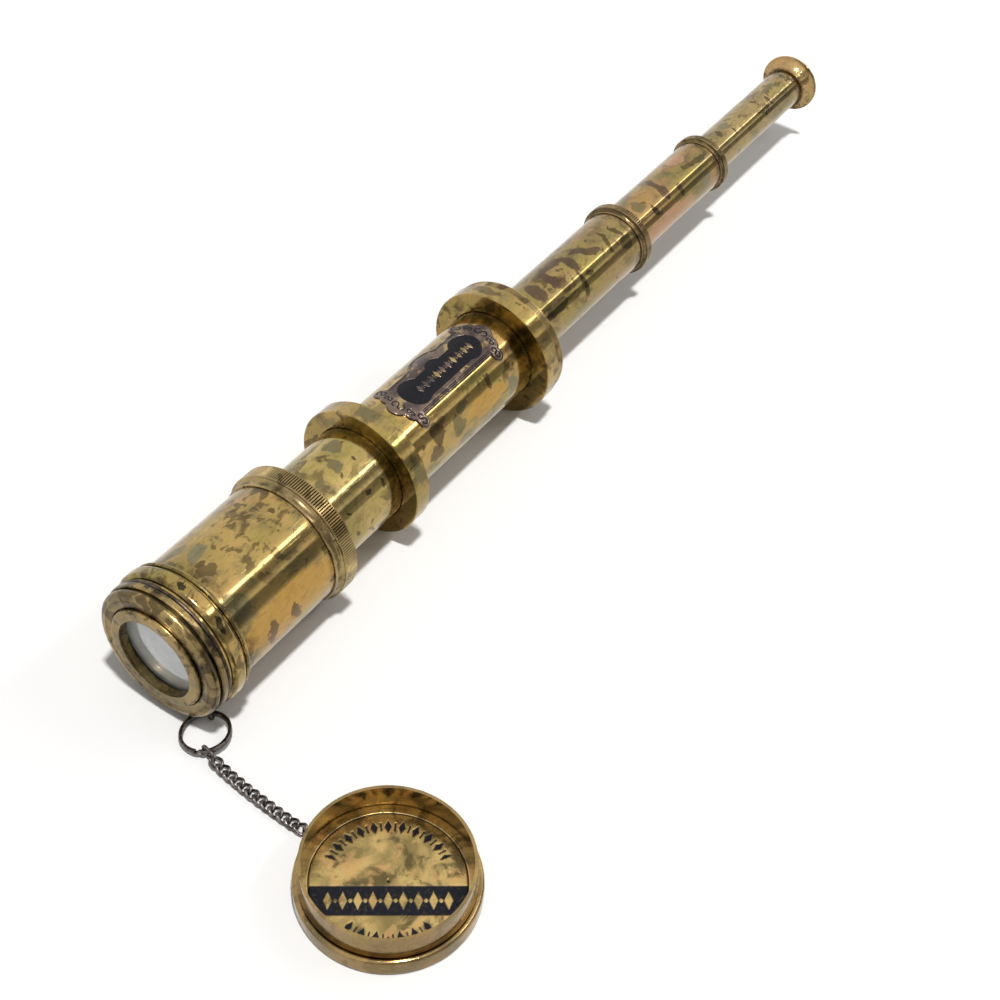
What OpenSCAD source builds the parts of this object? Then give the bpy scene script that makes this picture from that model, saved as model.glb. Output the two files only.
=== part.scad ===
// Four-section brass hand telescope, drawn out, with its lens cap on a chain beside it.
// +X runs along the optical axis from the objective to the eyepiece and +Z is up.
// The origin is the middle of the bezel's front edge, and the table is axis_h below it.

/* [Objective] */
// Radius of the clear aperture in the bezel
aperture_r = 16.2; // [12:0.1:17]
// Rise of the bezel's rounded front shoulder over the bell
bezel_rise = 1.5; // [1.2:0.1:2.2]
// Rise of the bead that the lens cap slides over, over the bell
cap_bead_rise = 1.9; // [1.4:0.1:2.3]
// Length of the bezel in front of the bell
bezel_len = 9.5; // [9:0.1:12]
// Depth of the ledge that the objective rests against
lens_ledge_x = 4.6; // [4:0.1:5]
// Radius of the objective lenses
lens_r = 18.5; // [17.6:0.1:20]
// Thickness of the front, crown lens at its middle
crown_t = 5; // [4:0.1:5.4]
// Thickness of the rear, flint lens at its middle
flint_t = 2.2; // [1.8:0.1:2.6]
// Radius of curvature of the crown's front face
crown_front_curve = 150; // [110:1:300]
// Radius of curvature of the cemented faces
cement_curve = 120; // [100:1:200]

/* [Bell] */
// Outer radius of the wide front tube
bell_r = 25.3; // [25:0.1:25.6]
// Wall of the wide front tube
bell_wall = 0.9; // [0.7:0.05:1.2]
// Rise over the bell of the flange behind the bezel, which the telescope rests on
flange_rise = 2.7; // [2.5:0.1:4]
// Length of the flanged ferrule
ferrule_len = 10.2; // [9:0.1:14]
// Visible length from the ferrule to the rear face of the bell's gland ring
bell_len = 58.4; // [50:0.1:70]
// Rise of the knurl of the bell's gland ring over the bell
bell_gland_rise = 2.3; // [1.4:0.1:2.6]
// Width of the knurl of the bell's gland ring
bell_knurl_w = 6.3; // [4:0.1:7]

/* [Body] */
// Outer radius of the neck tube that the bell slides on
neck_r = 20.3; // [20:0.1:20.8]
// Wall of the neck tube
neck_wall = 0.8; // [0.6:0.05:0.9]
// Visible length of the neck tube with the bell drawn forward
neck_len = 36.3; // [30:0.1:45]
// Rise of the front collar over the neck tube
front_collar_rise = 7.2; // [5:0.1:7.6]
// Width of the front collar
front_collar_w = 8.6; // [8:0.1:12]
// Outer radius of the main barrel
barrel_r = 19.7; // [19.4:0.1:19.9]
// Wall of the main barrel
barrel_wall = 0.9; // [0.7:0.05:1.2]
// Visible length of the main barrel between its collars
barrel_len = 79; // [72:0.5:95]
// Width of the rear collar's plain band, whose radius is that of the flange
rear_collar_w = 7.6; // [7:0.1:12]
// Depth of the step from the rear collar's band to the knurl of the first draw's gland ring
draw1_gland_step = 0.7; // [0.4:0.1:3]
// Width of the knurled head of the first draw's gland ring
draw1_gland_w = 4.2; // [3:0.1:5]

/* [Draw tubes] */
// Outer radius of the first draw tube
draw1_r = 14.6; // [14.2:0.1:15]
// Outer radius of the second draw tube
draw2_r = 12.3; // [12:0.1:12.6]
// Outer radius of the third draw tube
draw3_r = 9.4; // [9.2:0.1:9.8]
// Wall of the draw tubes
draw_wall = 0.6; // [0.5:0.05:0.7]
// Visible length of the first draw tube
draw1_len = 82.2; // [70:0.5:84]
// Visible length of the second draw tube
draw2_len = 68.4; // [60:0.5:76]
// Visible length of the third draw tube
draw3_len = 80.2; // [70:0.5:82]
// Rise of the knurl of the second draw's gland ring over the first draw tube
draw2_gland_rise = 2; // [1.2:0.1:3]
// Width of the knurl of the second draw's gland ring
draw2_knurl_w = 3; // [2:0.1:3.4]
// Rise of the knurl of the third draw's gland ring over the second draw tube
draw3_gland_rise = 1.6; // [1.2:0.1:3]
// Width of the knurl of the third draw's gland ring
draw3_knurl_w = 2.6; // [1.8:0.1:2.8]

/* [Eyepiece] */
// Rise of the flared eyecup's rim over the third draw tube
eyecup_rise = 4.7; // [3:0.1:8]
// Length of the eyecup behind the third draw tube
eyecup_len = 7.4; // [6.5:0.1:12]
// Radius of the eye hole
eye_hole_r = 4; // [2.5:0.1:5]

/* [Nameplate] */
// Length of the plate along the barrel
plate_len = 63.4; // [50:0.1:66]
// Width of the plate across its corner lobes, seen from above
plate_w = 26; // [20:0.1:29]
// Thickness of the plate
plate_t = 0.7; // [0.4:0.05:1.2]
// Depth of the panel sunk into the plate
panel_depth = 0.3; // [0.1:0.05:0.35]
// Turn of the plate about the barrel, towards -Y
plate_turn = 6.5; // [-30:0.5:30]

/* [Ring and chain] */
// Distance from the flange's radius out to the middle of the eye that holds the split ring
eye_out = 2; // [1.9:0.1:3]
// Middle radius of the split ring
ring_r = 8.7; // [8.4:0.1:9.2]
// Radial width of the split ring's wire
ring_w = 1.3; // [1:0.05:1.5]
// Height of the split ring's two turns together
ring_h = 2; // [1.6:0.05:2.2]
// Diameter of the wire of the chain's links
link_wire = 1.1; // [0.9:0.05:1.15]
// Distance from one chain link to the next
link_pitch = 3.6; // [3.5:0.05:3.8]
// Number of curb links
link_count = 12; // [6:1:14]

/* [Lens cap] */
// Wall of the cap
cap_wall = 1.1; // [0.8:0.05:1.4]
// Height of the cap
cap_h = 15.8; // [14:0.1:20]
// Rise of the wider band round the closed end over the cap's wall
cap_band_rise = 2.15; // [1.3:0.05:4]
// Height of the wider band
cap_band_h = 6.6; // [5.2:0.1:8]
// Thickness of the cap's closed end
cap_floor = 3.7; // [1.5:0.1:4.5]

/* [Hidden] */

// Clearances, in millimetres
slide_gap = 0.05;      // radial, between a draw tube and the gland or bore it runs in
stop_gap = 0.2;        // between a guide bush and the gland that stops it
seat_gap = 0.02;       // between lenses and the metal round them
cap_gap = 0.3;         // radial, between the cap and the bead it slides over
table_gap = 0.1;       // under the eye and the jump link
link_gap = 0.02;       // under the curb links
lap = 1;               // by which joined shapes overlap and cuts run past a face

// Radii that follow from the tubes
bezel_r = bell_r + bezel_rise;
cap_bead_r = bell_r + cap_bead_rise;
flange_r = bell_r + flange_rise;
bell_gland_r = bell_r + bell_gland_rise;
front_collar_r = neck_r + front_collar_rise;
draw1_gland_r = flange_r - draw1_gland_step;
draw2_gland_r = draw1_r + draw2_gland_rise;
draw3_gland_r = draw2_r + draw3_gland_rise;
eyecup_r = draw3_r + eyecup_rise;
eye_reach = flange_r + eye_out;
axis_h = flange_r;
turn_fn = 96;

// How the tubes sit in the collars
front_seat = 4;        // depth of the neck tube's end in the front collar
front_web = 0.6;       // of the front collar between the neck tube and the barrel
rear_seat = 4.5;       // depth of the barrel's end in the rear collar
gland_thread_r = barrel_r + 2;
joint_chamfer = 0.35;  // at the mouth of a collar's bore
collar_chamfer = 0.4;

// Places along the optical axis, front to rear
ferrule_x = bezel_len;
ferrule_rear_x = ferrule_x + ferrule_len;
bell_gland_w = 10.5;
bell_rear_x = ferrule_rear_x + bell_len;
bell_gland_x = bell_rear_x - bell_gland_w;
front_collar_x = bell_rear_x + neck_len;
barrel_x = front_collar_x + front_collar_w;
rear_collar_x = barrel_x + barrel_len;
draw1_seat_x = rear_collar_x + rear_seat;
draw1_gland_x = rear_collar_x + rear_collar_w;
draw1_rear_x = draw1_gland_x + draw1_gland_w;
draw_gland_w = 5.6;
draw2_gland_x = draw1_rear_x + draw1_len;
draw2_rear_x = draw2_gland_x + draw_gland_w;
draw3_gland_w = 4.8;
draw3_gland_x = draw2_rear_x + draw2_len;
draw3_rear_x = draw3_gland_x + draw3_gland_w;
eyecup_x = draw3_rear_x + draw3_len;

// Bezel and objective
bezel_spigot = 5;
lip_out_r = aperture_r + 4.2;
lip_depth = 3;
lip_round = 1.2;
cove_w = 0.5;
face_x = 1.5;
shoulder_round = 1.8;
seam_depth = 0.9;
bead_round = 0.7;
bead_x = bezel_len - 3.6;
groove_w = 1.5;
groove_x = bezel_len - groove_w;
groove_r = bell_r + 0.3;
bell_in_r = bell_r - bell_wall;
lens_seat_r = lens_r + seat_gap;
lens_rest_r = aperture_r + 0.9;
crown_x = lens_ledge_x - sag(crown_front_curve, lens_rest_r) + seat_gap;
aperture_len = crown_x - 0.05;
flint_x = crown_x + crown_t + seat_gap;
flint_rear_x = flint_x + flint_t;
retainer_w = 2.2;

// Nameplate
plate_shift = 0.7;     // of its middle behind the middle of the barrel
plate_side_in = 3.6;   // of its long sides inside its corner lobes

// Band in the bezel's groove, with the eye that rests on the table
band_wire_r = 0.7;
band_mid_r = groove_r + band_wire_r;
band_x = groove_x + groove_w / 2;
eye_mid_r = 2.2;
eye_wire_r = 0.4;
eye_turn = 28;
eye_lean = 0.86;       // part of its radius by which the leaning eye reaches down
eye_z = eye_mid_r * eye_lean + eye_wire_r + table_gap;
eye_angle = acos((axis_h - eye_z) / eye_reach);
eye_y = -eye_reach * sin(eye_angle);

// Split ring: its wire passes through the eye, and it leans on the jump link
ring_at_eye = 30;      // angle round the ring of the point inside the eye
ring_at_jump = 225;    // angle round the ring of the point that the jump link holds
ring_slope_x = 0.0425;
ring_slope_y = -0.12;
ring_groove = 0.16;
ring_x = band_x - ring_r * cos(ring_at_eye);
ring_y = eye_y - ring_r * sin(ring_at_eye);
ring_z = eye_z - ring_slope_x * (band_x - ring_x) - ring_slope_y * (eye_y - ring_y);

// Jump link: an upright oval round the ring's wire, with the chain in its far end
jump_wire = 1.1;
jump_half_len = 3.2;
jump_play = 0.7;       // between the ring and the jump link, above and below
jump_half_h = (ring_h + jump_wire) / 2 + jump_play;
jump_heading = 12;
jump_on_ring = 1.0;    // from the ring's wire to the middle of the jump link
jump_to_link = 1.4;    // from the middle of the jump link to the end of the first curb link
jump_hold_x = ring_x + ring_r * cos(ring_at_jump);
jump_hold_y = ring_y + ring_r * sin(ring_at_jump);
jump_z = ring_z + ring_slope_x * (jump_hold_x - ring_x) + ring_slope_y * (jump_hold_y - ring_y);
jump_pos = [jump_hold_x, jump_hold_y, jump_z] + jump_on_ring * heading_dir(jump_heading);

// Curb links: a twisted oval that lets each link lie through the next
link_play = 0.25;
link_half_len = (link_pitch + link_wire) / 2 + link_play;
link_half_w = 1.8;
link_twist = 0.85;
link_lie_z = link_twist + link_wire / 2 + link_gap;
first_heading = 9;     // degrees from -Y towards -X
last_heading = 0;
first_lift = 0.9;      // the first link climbs to the jump link
second_lift = 0.18;
last_lift = 0.45;      // the last link climbs to the cap's eye
first_tilt = 12;
second_tilt = 4;
last_tilt = -6;
link_sides = 6;
link_steps = 24;

// Lens cap, open side up on the table
cap_in_r = cap_bead_r + cap_gap;
cap_rim_r = cap_in_r + cap_wall;
cap_band_r = cap_rim_r + cap_band_rise;
cap_eye_reach = 2.5;
cap_eye_mid_r = 1.75;
cap_eye_wire_r = 0.35;
cap_eye_z = cap_eye_mid_r + cap_eye_wire_r + table_gap;
cap_post_r = 0.8;
cap_play = 0.35;       // between the last link's wire and the cap's eye
cap_hold = cap_eye_mid_r - cap_eye_wire_r - link_wire / 2 - cap_play;
cap_eye_y = link_pos(link_count - 1)[1] - link_half_len - cap_hold;
cap_x = link_pos(link_count - 1)[0];
cap_y = cap_eye_y - cap_band_r - cap_eye_reach;
cap_plate_r = cap_in_r - seat_gap;
cap_plate_t = 0.8;

// Eyepiece and erector, inside the third draw tube
draw1_in_r = draw1_r - draw_wall;
draw2_in_r = draw2_r - draw_wall;
draw3_in_r = draw3_r - draw_wall;
barrel_in_r = barrel_r - barrel_wall;
bush_w = 8;
gland_bore_w = 2.2;
inner_tube_wall = 0.9;
inner_lens_r = draw3_in_r - inner_tube_wall;
erector_len = 36;
erector_inset = 2;     // behind the front end of the third draw tube
erector_stop_r = 2.5;
erector_lens_in = 3;
erector_lens_t = 3.6;
erector_curve = 22;
inner_ring_w = 1;
inner_ring_r = inner_lens_r - 1.2;
eyepiece_len = 32;
eye_spigot = 3.4;
eye_lens_t = 4.8;
eye_lens_in = 2;
field_lens_t = 4.8;
field_lens_in = 2;
field_stop_in = 14;
field_stop_r = 5;
stop_t = 0.8;
eye_curve = 16;
erector_x = draw3_rear_x - gland_bore_w - stop_gap - bush_w + erector_inset;
eyepiece_x = eyecup_x - eye_spigot - eyepiece_len;

function sag(curve, r) = curve - sqrt(curve * curve - r * r);
function heading_dir(a) = [-sin(a), -cos(a), 0];
function link_name(i) = str("chain_link_", i < 9 ? "0" : "", i + 1);
function heading(i) = first_heading + (last_heading - first_heading) * i / (link_count - 1);
function first_link_pos() =
    [jump_pos[0], jump_pos[1], 0] + jump_to_link * heading_dir(jump_heading)
        + link_half_len * heading_dir(first_heading);
function link_pos(i) =
    i == 0 ? first_link_pos()
           : link_pos(i - 1) + link_pitch * heading_dir((heading(i) + heading(i - 1)) / 2);
function link_lift(i) =
    i == 0 ? first_lift : i == 1 ? second_lift : i == link_count - 1 ? last_lift : 0;
function link_tilt(i) =
    i == 0 ? first_tilt : i == 1 ? second_tilt : i == link_count - 1 ? last_tilt : 0;

// A point on the twisted oval of a curb link, t in degrees
function curb_point(t) =
    [link_half_len * cos(t), link_half_w * sin(t), link_twist * sin(2 * t)];

// A point on the round-ended oval of the jump link, in the XZ plane
function jump_point(t) =
    [jump_half_h * cos(t) + (jump_half_len - jump_half_h) * sign(cos(t)), 0, jump_half_h * sin(t)];

// Points of a wire of radius r round a closed path
function unit(v) = v / norm(v);
function wire_ring(path, k, r) =
    let (n = len(path), along = unit(path[(k + 1) % n] - path[(k + n - 1) % n]),
         out = unit(cross(along, cross(path[k], along))), side = cross(along, out))
    [for (j = [0 : link_sides - 1])
        path[k] + r * cos(360 * j / link_sides) * out + r * sin(360 * j / link_sides) * side];

function loop_quads(n, m) = [for (k = [0 : n - 1]) for (j = [0 : m - 1])
    [k * m + j, k * m + (j + 1) % m, ((k + 1) % n) * m + (j + 1) % m, ((k + 1) % n) * m + j]];

module wire_loop(path, r) {
    points = [for (k = [0 : len(path) - 1]) each wire_ring(path, k, r)];
    quads = loop_quads(len(path), link_sides);
    triangles = [for (q = quads) each [[q[0], q[2], q[1]], [q[0], q[3], q[2]]]];
    polyhedron(points, triangles, convexity = 4);
}

// Ring of round wire about the Z axis
module wire_eye(mid_r, wire_r) {
    rotate_extrude($fn = 48)
        translate([mid_r, 0])
            circle(wire_r, $fn = 24);
}

// Revolves a profile drawn as [radius, distance along the optical axis]
module turned() {
    rotate([0, 90, 0])
        rotate_extrude($fn = turn_fn)
            children();
}

module turned_tube(x0, x1, r_out, r_in) {
    turned()
        translate([r_in, x0])
            square([r_out - r_in, x1 - x0]);
}

// Ring screwed on the rear end of a tube: a bead, a cove, a knurled land and a bore for the next tube
module gland_ring(x0, w, tube_r, bore_r, land_r, land_w) {
    step = land_r - tube_r;
    bead_r = tube_r + step * 0.35;
    foot_r = tube_r + step * 0.2;
    chamfer = 0.3;
    x1 = x0 + w;
    land_x = x1 - land_w - chamfer;
    cove_x = x0 + 4 * chamfer;
    cove_l = land_x - chamfer - cove_x;
    cove_h = land_r - chamfer - foot_r;
    seat_x = x1 - gland_bore_w;
    cove = [for (t = [0 : 15 : 90]) [foot_r + cove_h * (1 - cos(t)), cove_x + cove_l * sin(t)]];
    turned()
        polygon(concat(
            [[tube_r, x0], [bead_r, x0 + chamfer], [bead_r, x0 + 3 * chamfer]],
            cove,
            [[land_r, land_x], [land_r, x1 - chamfer], [land_r - chamfer, x1],
             [bore_r, x1], [bore_r, seat_x], [tube_r, seat_x]]));
}

// Bush on the front end of a draw tube, running in the tube outside it
module guide_bush(rear_x, outer_bore_r, tube_r) {
    turned_tube(rear_x - bush_w, rear_x, outer_bore_r - slide_gap, tube_r);
}

// Small lens of equal curves in the erector or eyepiece tube, from its front vertex at x0
module biconvex(x0, t, curve) {
    turned()
        intersection() {
            translate([0, x0])
                square([inner_lens_r - seat_gap, t]);
            translate([0, x0 + curve])
                circle(curve, $fn = 240);
            translate([0, x0 + t - curve])
                circle(curve, $fn = 240);
        }
}

module objective_bezel() {
    shoulder_r = bezel_r - shoulder_round;
    face_rise = 0.35;      // of the front face, half way up
    line_r = (lip_out_r + bezel_r) / 2;
    line_w = 0.2;          // radius of the turned line there
    color("goldenrod")
        turned()
            difference() {
                union() {
                    square([lip_out_r - lip_round, lip_depth]);
                    translate([lip_out_r - lip_round, lip_round])
                        circle(lip_round, $fn = 48);
                    translate([0, lip_depth - lap])
                        square([bezel_r - seam_depth, bead_x - lip_depth + lap]);
                    polygon([
                        [lip_out_r + cove_w, face_x], [line_r, face_x - face_rise],
                        [shoulder_r, face_x], [shoulder_r, bead_x], [lip_out_r, bead_x],
                        [lip_out_r, face_x + cove_w]]);
                    translate([shoulder_r, face_x + shoulder_round])
                        circle(shoulder_round, $fn = 48);
                    translate([0, bead_x - lap])
                        square([groove_r, bezel_len - bead_x + lap]);
                    translate([0, bead_x])
                        square([cap_bead_r, groove_x - bead_x - bead_round]);
                    for (x = [bead_x, groove_x - bead_round])
                        translate([cap_bead_r - bead_round, x])
                            circle(bead_round, $fn = 32);
                    translate([0, bezel_len])
                        square([bell_in_r, bezel_spigot]);
                }
                translate([0, -lap])
                    square([aperture_r, bezel_len]);
                polygon([
                    [0, aperture_len], [aperture_r, aperture_len], [lens_rest_r, lens_ledge_x],
                    [lens_rest_r, lens_ledge_x + lap], [0, lens_ledge_x + lap]]);
                translate([0, lens_ledge_x])
                    square([lens_seat_r, bezel_len + bezel_spigot]);
                translate([line_r, face_x - face_rise])
                    circle(line_w, $fn = 16);
            }
}

module objective_crown_lens() {
    color("aliceblue")
        turned()
            intersection() {
                translate([0, crown_x])
                    square([lens_r, crown_t]);
                translate([0, crown_x + crown_front_curve])
                    circle(crown_front_curve, $fn = 360);
                translate([0, crown_x + crown_t - cement_curve])
                    circle(cement_curve, $fn = 360);
            }
}

module objective_flint_lens() {
    front_x = flint_x - sag(cement_curve, lens_r);
    color("lightcyan")
        turned()
            difference() {
                translate([0, front_x])
                    square([lens_r, flint_rear_x - front_x]);
                translate([0, flint_x - cement_curve])
                    circle(cement_curve, $fn = 360);
            }
}

module objective_retaining_ring() {
    color("dimgray")
        turned_tube(flint_rear_x + seat_gap, flint_rear_x + retainer_w, lens_seat_r, aperture_r);
}

module bell_ferrule() {
    skirt = 1.1;           // wall of the ferrule where it is thin
    flange_round = 2;
    front_x = ferrule_x + 0.8;
    rear_x = ferrule_rear_x - 2.8;
    bead_r = 0.8;
    bead_rise = 1.2;
    bead_in = 0.6;
    color("goldenrod")
        turned()
            difference() {
                union() {
                    translate([bell_in_r, ferrule_x])
                        square([bell_r + skirt - bell_in_r, ferrule_len]);
                    for (x = [front_x + flange_round, rear_x - flange_round])
                        translate([flange_r - flange_round, x])
                            circle(flange_round, $fn = 48);
                    translate([bell_r, front_x + flange_round])
                        square([flange_r - bell_r, rear_x - front_x - 2 * flange_round]);
                    translate([bell_r + bead_rise, ferrule_rear_x - bead_r - bead_in])
                        circle(bead_r, $fn = 32);
                }
                translate([0, ferrule_x - lap])
                    square([bell_r, ferrule_len + 2 * lap]);
            }
}

module bell_tube() {
    color("gold")
        turned_tube(ferrule_x, bell_rear_x - gland_bore_w, bell_r, bell_in_r);
}

module bell_gland_ring() {
    color("darkgoldenrod")
        gland_ring(bell_gland_x, bell_gland_w, bell_r, neck_r + slide_gap, bell_gland_r,
                   bell_knurl_w);
}

module chain_band() {
    stem_r = band_wire_r - 0.1;
    color("dimgray")
        union() {
            turned()
                translate([band_mid_r, band_x])
                    circle(band_wire_r, $fn = 24);
            translate([band_x, 0, 0])
                rotate([180 - eye_angle, 0, 0]) {
                    translate([0, 0, band_mid_r])
                        cylinder(r = stem_r, h = eye_reach - eye_mid_r - band_mid_r, $fn = 24);
                    translate([0, 0, eye_reach])
                        rotate([0, 0, -eye_turn])
                            rotate([90, 0, 0])
                                wire_eye(eye_mid_r, eye_wire_r);
                }
        }
}

module neck_tube() {
    color("gold")
        turned_tube(bell_rear_x - gland_bore_w - stop_gap - bush_w, front_collar_x + front_seat,
                    neck_r, neck_r - neck_wall);
}

module neck_guide_bush() {
    color("goldenrod")
        guide_bush(bell_rear_x - gland_bore_w - stop_gap, bell_in_r, neck_r);
}

module front_collar() {
    x0 = front_collar_x;
    x1 = barrel_x;
    web_x = x0 + front_seat;
    lip_x = x1 - 1.4;      // where the band steps down to the rear lip
    lip_slope = 0.2;
    lip_r = front_collar_r - 0.6;
    color("goldenrod")
        turned()
            polygon([
                [neck_r, x0 + joint_chamfer], [neck_r + joint_chamfer, x0],
                [front_collar_r - collar_chamfer, x0], [front_collar_r, x0 + collar_chamfer],
                [front_collar_r, lip_x], [lip_r, lip_x + lip_slope],
                [lip_r, x1 - collar_chamfer], [lip_r - collar_chamfer, x1],
                [barrel_r, x1], [barrel_r, web_x + front_web], [barrel_in_r, web_x + front_web],
                [barrel_in_r, web_x], [neck_r, web_x]]);
}

module main_barrel() {
    color("gold")
        turned_tube(front_collar_x + front_seat + front_web, rear_collar_x + rear_seat,
                    barrel_r, barrel_in_r);
}

// Outline of the nameplate from above: a bar with a crest on its far side, corner lobes
// and scalloped ends
module plate_outline() {
    lobe_r = 2.4;
    tip_r = 5;
    scallop_r = 3.9;
    crest_r = 12;
    lobe_x = plate_len / 2 - lobe_r - 4.8;
    lobe_y = plate_w / 2 - lobe_r;
    scallop_x = plate_len / 2 - scallop_r - 2.8;
    scallop_y = lobe_y - 5;
    square([2 * lobe_x, 2 * (plate_w / 2 - plate_side_in)], center = true);
    intersection() {
        translate([0, plate_w / 2 - crest_r])
            circle(crest_r, $fn = 96);
        translate([-crest_r, 0])
            square([2 * crest_r, plate_w]);
    }
    for (s = [-1, 1]) {
        translate([s * (plate_len / 2 - tip_r), 0])
            circle(tip_r, $fn = 48);
        for (t = [-1, 1]) {
            translate([s * scallop_x, t * scallop_y])
                circle(scallop_r, $fn = 48);
            translate([s * lobe_x, t * lobe_y])
                circle(lobe_r, $fn = 32);
        }
    }
}

// Outline of the sunk panel: a bar between two round heads, with a rise in its far side
module panel_outline() {
    side_y = plate_w / 2 - plate_side_in;
    head_r = side_y - 2.5;
    head_x = plate_len / 2 - 15.2;
    near_y = 3.4 - side_y;
    far_y = side_y - 5.2;
    rise_r = 5.3;
    rise_y = side_y - 2.9 - rise_r;
    translate([-head_x, near_y])
        square([2 * head_x, far_y - near_y]);
    for (s = [-1, 1])
        translate([s * head_x, 0])
            circle(head_r, $fn = 64);
    translate([0, rise_y])
        circle(rise_r, $fn = 64);
}

module nameplate() {
    mid_x = (barrel_x + rear_collar_x) / 2 + plate_shift;
    color("rosybrown")
        rotate([plate_turn, 0, 0])
            difference() {
                intersection() {
                    turned_tube(barrel_x, rear_collar_x, barrel_r + plate_t, barrel_r);
                    translate([mid_x, 0, 0])
                        linear_extrude(barrel_r * 2)
                            plate_outline();
                }
                intersection() {
                    turned_tube(barrel_x, rear_collar_x, barrel_r + 2 * plate_t,
                                barrel_r + plate_t - panel_depth);
                    translate([mid_x, 0, 0])
                        linear_extrude(barrel_r * 2)
                            panel_outline();
                }
            }
}

module rear_collar() {
    x0 = rear_collar_x;
    x1 = draw1_gland_x;
    color("goldenrod")
        turned()
            polygon([
                [barrel_r, x0 + joint_chamfer], [barrel_r + joint_chamfer, x0],
                [flange_r - collar_chamfer, x0], [flange_r, x0 + collar_chamfer],
                [flange_r, x1 - collar_chamfer], [flange_r - collar_chamfer, x1],
                [gland_thread_r, x1], [gland_thread_r, draw1_seat_x], [barrel_r, draw1_seat_x]]);
}

module draw1_gland_ring() {
    x1 = draw1_gland_x;
    x2 = draw1_rear_x;
    bore = draw1_r + slide_gap;
    chamfer = 0.3;
    color("darkgoldenrod")
        turned()
            polygon([
                [bore, draw1_seat_x], [gland_thread_r, draw1_seat_x], [gland_thread_r, x1],
                [draw1_gland_r - chamfer, x1], [draw1_gland_r, x1 + chamfer],
                [draw1_gland_r, x2 - chamfer], [draw1_gland_r - chamfer, x2], [bore, x2]]);
}

module draw1_tube() {
    color("gold")
        turned_tube(draw1_seat_x - stop_gap - bush_w, draw2_rear_x - gland_bore_w,
                    draw1_r, draw1_in_r);
}

module draw1_guide_bush() {
    color("goldenrod")
        guide_bush(draw1_seat_x - stop_gap, barrel_in_r, draw1_r);
}

module draw2_gland_ring() {
    color("darkgoldenrod")
        gland_ring(draw2_gland_x, draw_gland_w, draw1_r, draw2_r + slide_gap, draw2_gland_r,
                   draw2_knurl_w);
}

module draw2_tube() {
    color("gold")
        turned_tube(draw2_rear_x - gland_bore_w - stop_gap - bush_w, draw3_rear_x - gland_bore_w,
                    draw2_r, draw2_in_r);
}

module draw2_guide_bush() {
    color("goldenrod")
        guide_bush(draw2_rear_x - gland_bore_w - stop_gap, draw1_in_r, draw2_r);
}

module draw3_gland_ring() {
    color("darkgoldenrod")
        gland_ring(draw3_gland_x, draw3_gland_w, draw2_r, draw3_r + slide_gap, draw3_gland_r,
                   draw3_knurl_w);
}

module draw3_tube() {
    color("gold")
        turned_tube(draw3_rear_x - gland_bore_w - stop_gap - bush_w, eyecup_x, draw3_r, draw3_in_r);
}

module draw3_guide_bush() {
    color("goldenrod")
        guide_bush(draw3_rear_x - gland_bore_w - stop_gap, draw2_in_r, draw3_r);
}

module erector_tube() {
    color("dimgray")
        turned_tube(erector_x, erector_x + erector_len, draw3_in_r, inner_lens_r);
}

module erector_front_lens() {
    color("aliceblue")
        biconvex(erector_x + erector_lens_in, erector_lens_t, erector_curve);
}

module erector_rear_lens() {
    color("aliceblue")
        biconvex(erector_x + erector_len - erector_lens_in - erector_lens_t, erector_lens_t,
                 erector_curve);
}

module erector_retaining_rings() {
    rest = erector_lens_in + sag(erector_curve, inner_ring_r) - seat_gap;
    color("dimgray")
        for (x = [erector_x + rest - inner_ring_w, erector_x + erector_len - rest])
            turned_tube(x, x + inner_ring_w, inner_lens_r, inner_ring_r);
}

module erector_stop() {
    mid_x = erector_x + erector_len / 2;
    color("black")
        turned_tube(mid_x - stop_t / 2, mid_x + stop_t / 2, inner_lens_r, erector_stop_r);
}

module eyepiece_tube() {
    color("dimgray")
        turned_tube(eyepiece_x, eyepiece_x + eyepiece_len, draw3_in_r, inner_lens_r);
}

module field_lens() {
    color("aliceblue")
        biconvex(eyepiece_x + field_lens_in, field_lens_t, eye_curve);
}

module field_stop() {
    color("black")
        turned_tube(eyepiece_x + field_stop_in, eyepiece_x + field_stop_in + stop_t,
                    inner_lens_r, field_stop_r);
}

module eye_lens() {
    color("aliceblue")
        biconvex(eyepiece_x + eyepiece_len - eye_lens_in - eye_lens_t, eye_lens_t, eye_curve);
}

module eye_lens_retaining_ring() {
    rest = eye_lens_in + sag(eye_curve, inner_ring_r) - seat_gap;
    color("dimgray")
        turned_tube(eyepiece_x + eyepiece_len - rest, eyepiece_x + eyepiece_len,
                    inner_lens_r, inner_ring_r);
}

module eyecup() {
    x0 = eyecup_x;
    x1 = eyecup_x + eyecup_len;
    collar_r = draw3_r + 0.9;
    collar_w = 0.8;
    neck_turn_r = draw3_r + 0.4;
    flare_x = x0 + 1.4;
    rim_w = 1;
    rim_chamfer = 0.2;
    flare_l = x1 - rim_w - flare_x;
    dish_r = eyecup_r - 0.9;
    dish_l = 2.8;
    dish_steps = 6;
    hole_x = x1 - dish_l - 2.4;
    inside_r = inner_lens_r - 0.6;
    flare = [for (t = [0 : 9 : 90])
        [eyecup_r - (eyecup_r - neck_turn_r) * cos(t), flare_x + flare_l * sin(t)]];
    dish = [for (k = [0 : dish_steps]) let (part = k / dish_steps)
        [dish_r - (dish_r - eye_hole_r) * part, x1 - dish_l * (1 - pow(1 - part, 2))]];
    color("goldenrod")
        turned()
            polygon(concat(
                [[draw3_in_r, x0 - eye_spigot], [draw3_in_r, x0], [collar_r, x0],
                 [collar_r, x0 + collar_w], [neck_turn_r, x0 + collar_w + 0.3]],
                flare, [[eyecup_r, x1 - rim_chamfer], [eyecup_r - rim_chamfer, x1]], dish,
                [[eye_hole_r, hole_x], [inside_r, hole_x], [inside_r, x0 - eye_spigot]]));
}

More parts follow.
